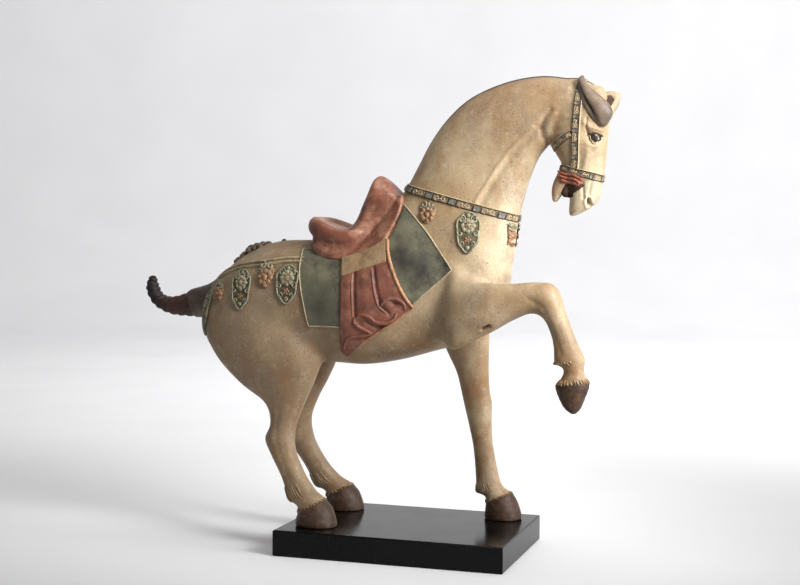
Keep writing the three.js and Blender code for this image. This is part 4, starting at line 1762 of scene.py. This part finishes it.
@dataclass
class Harness:
    """Collar, crupper and bridle."""

    collar_plane: tuple[Pair, Pair] = ((57, 405.5), (1, -0.267))
    collar_pendants: tuple[Pendant, ...] = (
        Pendant(30, 392, 21, 22, False), Pendant(77, 371, 29, 45), Pendant(121, 369, 8, 26, False),
    )
    crupper: Outline = (
        (-118, 338), (-141, 337), (-166, 333.5), (-186, 331), (-207, 327), (-229, 317), (-244, 304),
    )
    crupper_pendants: tuple[Pendant, ...] = (
        Pendant(-134, 309, 31, 43), Pendant(-162, 318, 23, 27, False), Pendant(-193, 302, 28, 45),
        Pendant(-226, 297, 17, 24, False),
    )
    croup_balls: tuple[Place, ...] = (
        (-203, 348.5, 6.2), (-196, 351, 6), (-188, 352.5, 6.4), (-181, 354, 5.2), (-212, 341.5, 5),
        (-220, 335, 4.6), (-161, 358.8, 3.2),
    )

    def build(self, skin: Skin, colours: Palette) -> None:
        """Builds the whole harness."""
        collar = skin.girdle(*self.collar_plane)
        PlaqueStrap("collar", collar, 8.5, 28.5, 17, 7).build(colours)
        build_pendants(skin, "collar", self.collar_pendants, colours)
        self.crupper_straps(skin, colours)
        build_pendants(skin, "crupper", self.crupper_pendants, colours)
        self.dock_tassel(skin, colours)
        self.croup(skin, colours)
        self.bridle(skin, colours)

    def crupper_straps(self, skin: Skin, colours: Palette) -> None:
        """Two cords on each flank, from the saddle to the dock."""
        cords, ground = bmesh.new(), bmesh.new()
        for side in BOTH:
            track = skin.track(self.crupper, side)
            part = bmesh.new()
            strap(part, track, 2.2, 2.6, 2.6)
            strap(part, track, 2.2, 2.6, -2.6)
            pour(track.lay(part), cords)
            part = bmesh.new()
            strap(part, track, 5.4, 1.1)
            pour(track.lay(part), ground)
        keep(new_piece("crupper_cords", cords, colours.rim))
        keep(new_piece("crupper_ground", ground, colours.plaque))

    def dock_tassel(self, skin: Skin, colours: Palette) -> None:
        """A long scrolled drop on each side of the tail's root."""
        drops = [Pendant(hand * 34, 274, 17, 54) for hand in (-1, 1)]
        rear = (View.REAR,)
        lay_both(skin, "dock_drops", lambda bm: [p.plate(bm) for p in drops], colours.recess, views=rear)
        lay_both(skin, "dock_scrolls", lambda bm: [p.scrolls(bm) for p in drops], colours.scroll, views=rear)

    def croup(self, skin: Skin, colours: Palette) -> None:
        """The knotted boss on the croup: a heap of dark balls along its top."""
        bm = bmesh.new()
        for x, z, radius in self.croup_balls:
            for across in (-0.9, 0.0, 0.9):
                size = radius * (0.72 if across else 0.95)
                place = Vector((x + 1.5 * across, across * radius, z - 1.6 * abs(across)))
                shape = Matrix.Translation(place * MM)
                bmesh.ops.create_icosphere(bm, subdivisions=3, radius=size * MM, matrix=shape)
        keep(new_piece("croup_boss", bm, colours.boss))

    def bridle(self, skin: Skin, colours: Palette) -> None:
        """Cheek straps over the poll, a noseband and a throat latch."""
        cheek = skin.girdle((192.5, 441), (0.05, 1), 0.0, Vector((1, 0, 0)))
        PlaqueStrap("cheek_strap", cheek, 8.0, 15, 10, 3.2, 1.6).build(colours)
        nose = skin.girdle((200, 438), (1, -0.28))
        PlaqueStrap("noseband", nose, 8.0, 13, 9, 2.6, 1.0).build(colours)
        for side in BOTH:
            throat = skin.track(((191, 482), (183, 477.5), (175, 472), (167, 466)), side)
            PlaqueStrap(f"{side.name.lower()}_throat_latch", throat, 8.0, 11, 8, 2.4, 1.0).build(colours)


# ---------------------------------------------------------------- stage


@dataclass
class Studio:
    """A pale paper sweep, four lights and the camera."""

    azimuth_deg: float = 17.603
    dip_deg: float = 2.54
    roll_deg: float = 0.448
    target_mm: Place = (-14.63, 0.0, 300.24)
    distance_mm: float = 1686.47
    lens_mm: float = 64.8
    floor_radius: float = 3.4
    curve: float = 1.4
    wall: float = 4.2

    def build(self) -> None:
        """Sets up floor, lights, world and camera."""
        self.sweep()
        self.lights()
        self.camera()
        bpy.context.scene.view_settings.view_transform = "Standard"

    def sweep(self) -> None:
        """A round floor whose edge curves up into a wall, so that no horizon shows."""
        w = Weave("pale_paper")
        tone = w.mix(w.between(w.noise(400, 2), 0.3, 0.7), "f1f1f2", "f6f6f7")
        paper = w.finish(tone, 0.9)
        bm = bmesh.new()
        outer = self.floor_radius + self.curve
        profile = [Vector((0, 0, 0)), Vector((self.floor_radius, 0, 0))]
        profile += [
            Vector((self.floor_radius + self.curve * math.sin(a), 0, self.curve * (1 - math.cos(a))))
            for a in (math.pi * k / 24 for k in range(1, 13))
        ] + [Vector((outer, 0, self.wall))]
        verts = [bm.verts.new(point) for point in profile]
        edges = [bm.edges.new(pair) for pair in zip(verts, verts[1:])]
        bmesh.ops.spin(
            bm, geom=verts + edges, axis=(0, 0, 1), cent=(0, 0, 0),
            angle=2 * math.pi, steps=64, use_merge=True,
        )
        floor = new_piece("floor", bm, paper)

    def lights(self) -> None:
        """A soft key at the front right, a fill, a top light, a light on the backdrop and a pale sky."""
        world = bpy.data.worlds.new("studio_air")
        bpy.context.scene.world = world
        world.use_nodes = True
        air = world.node_tree.nodes["Background"].inputs
        air["Color"].default_value = linear("ffffff")
        air["Strength"].default_value = 0.2
        self.area("key", (0.78, -0.38, 0.7), (0.13, 0, 0.41), 0.4, 2.2, 62)
        self.area("front_fill", (1.1, -0.12, 0.34), (0.08, 0.03, 0.24), 0.3, 0.8, 60)
        self.area("top_light", (0.15, -0.05, 1.4), (0.15, -0.04, 0), 0.9, 6.5, 180)
        self.area("backdrop_light", (0.3, 1.3, 2.4), (0.3, 4.6, 0.5), 2.0, 96.0, 180)

    def area(self, name: str, place: Place, aim: Place, size: float, power: float, spread_deg: float) -> None:
        """Adds a square light.

        Args:
            name: The light's name.
            place: Where it stands, in metres.
            aim: The point that it faces.
            size: Its side.
            power: Its power in watts.
            spread_deg: How widely it shines.
        """
        data = bpy.data.lights.new(name, "AREA")
        data.size = size
        data.energy = power
        data.spread = math.radians(spread_deg)
        light = bpy.data.objects.new(name, data)
        light.location = place
        light.rotation_euler = (Vector(aim) - Vector(place)).to_track_quat("-Z", "Y").to_euler()
        light.visible_camera = False
        bpy.context.scene.collection.objects.link(light)

    def camera(self) -> None:
        """Places the camera at the seat's height, on the horse's right and a little ahead."""
        azimuth, dip, roll = (math.radians(a) for a in (self.azimuth_deg, self.dip_deg, self.roll_deg))
        level = Vector((-math.sin(azimuth), math.cos(azimuth), 0))
        ahead = level * math.cos(dip) - Vector((0, 0, math.sin(dip)))
        right = Vector((math.cos(azimuth), math.sin(azimuth), 0))
        up = right.cross(ahead)
        across = math.cos(roll) * right + math.sin(roll) * up
        upward = -math.sin(roll) * right + math.cos(roll) * up
        data = bpy.data.cameras.new("camera")
        data.lens = self.lens_mm
        data.sensor_width = 36
        camera = bpy.data.objects.new("camera", data)
        place = Vector(self.target_mm) * MM - ahead * self.distance_mm * MM
        turn = Matrix((across, upward, -ahead)).transposed()
        camera.matrix_world = Matrix.Translation(place) @ turn.to_4x4()
        bpy.context.scene.collection.objects.link(camera)
        bpy.context.scene.camera = camera


def main() -> None:
    """Builds the horse, its harness and its plinth, and sets the stage."""
    logging.basicConfig(level=logging.INFO, format="%(name)s: %(message)s")
    colours = Palette()
    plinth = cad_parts["plinth"]
    plinth.data.materials.clear()
    plinth.data.materials.append(colours.lacquer)
    skin = Skin(strokes=MODELLING)
    skin.build(colours.slip)
    Feet().build(colours)
    Tail().build(colours)
    Head().build(skin, colours)
    Saddle().build(skin, colours)
    Cloth().build(skin, colours)
    Harness().build(skin, colours)
    bpy.data.objects.remove(skin.form)
    Studio().build()


if __name__ == "__main__":
    main()
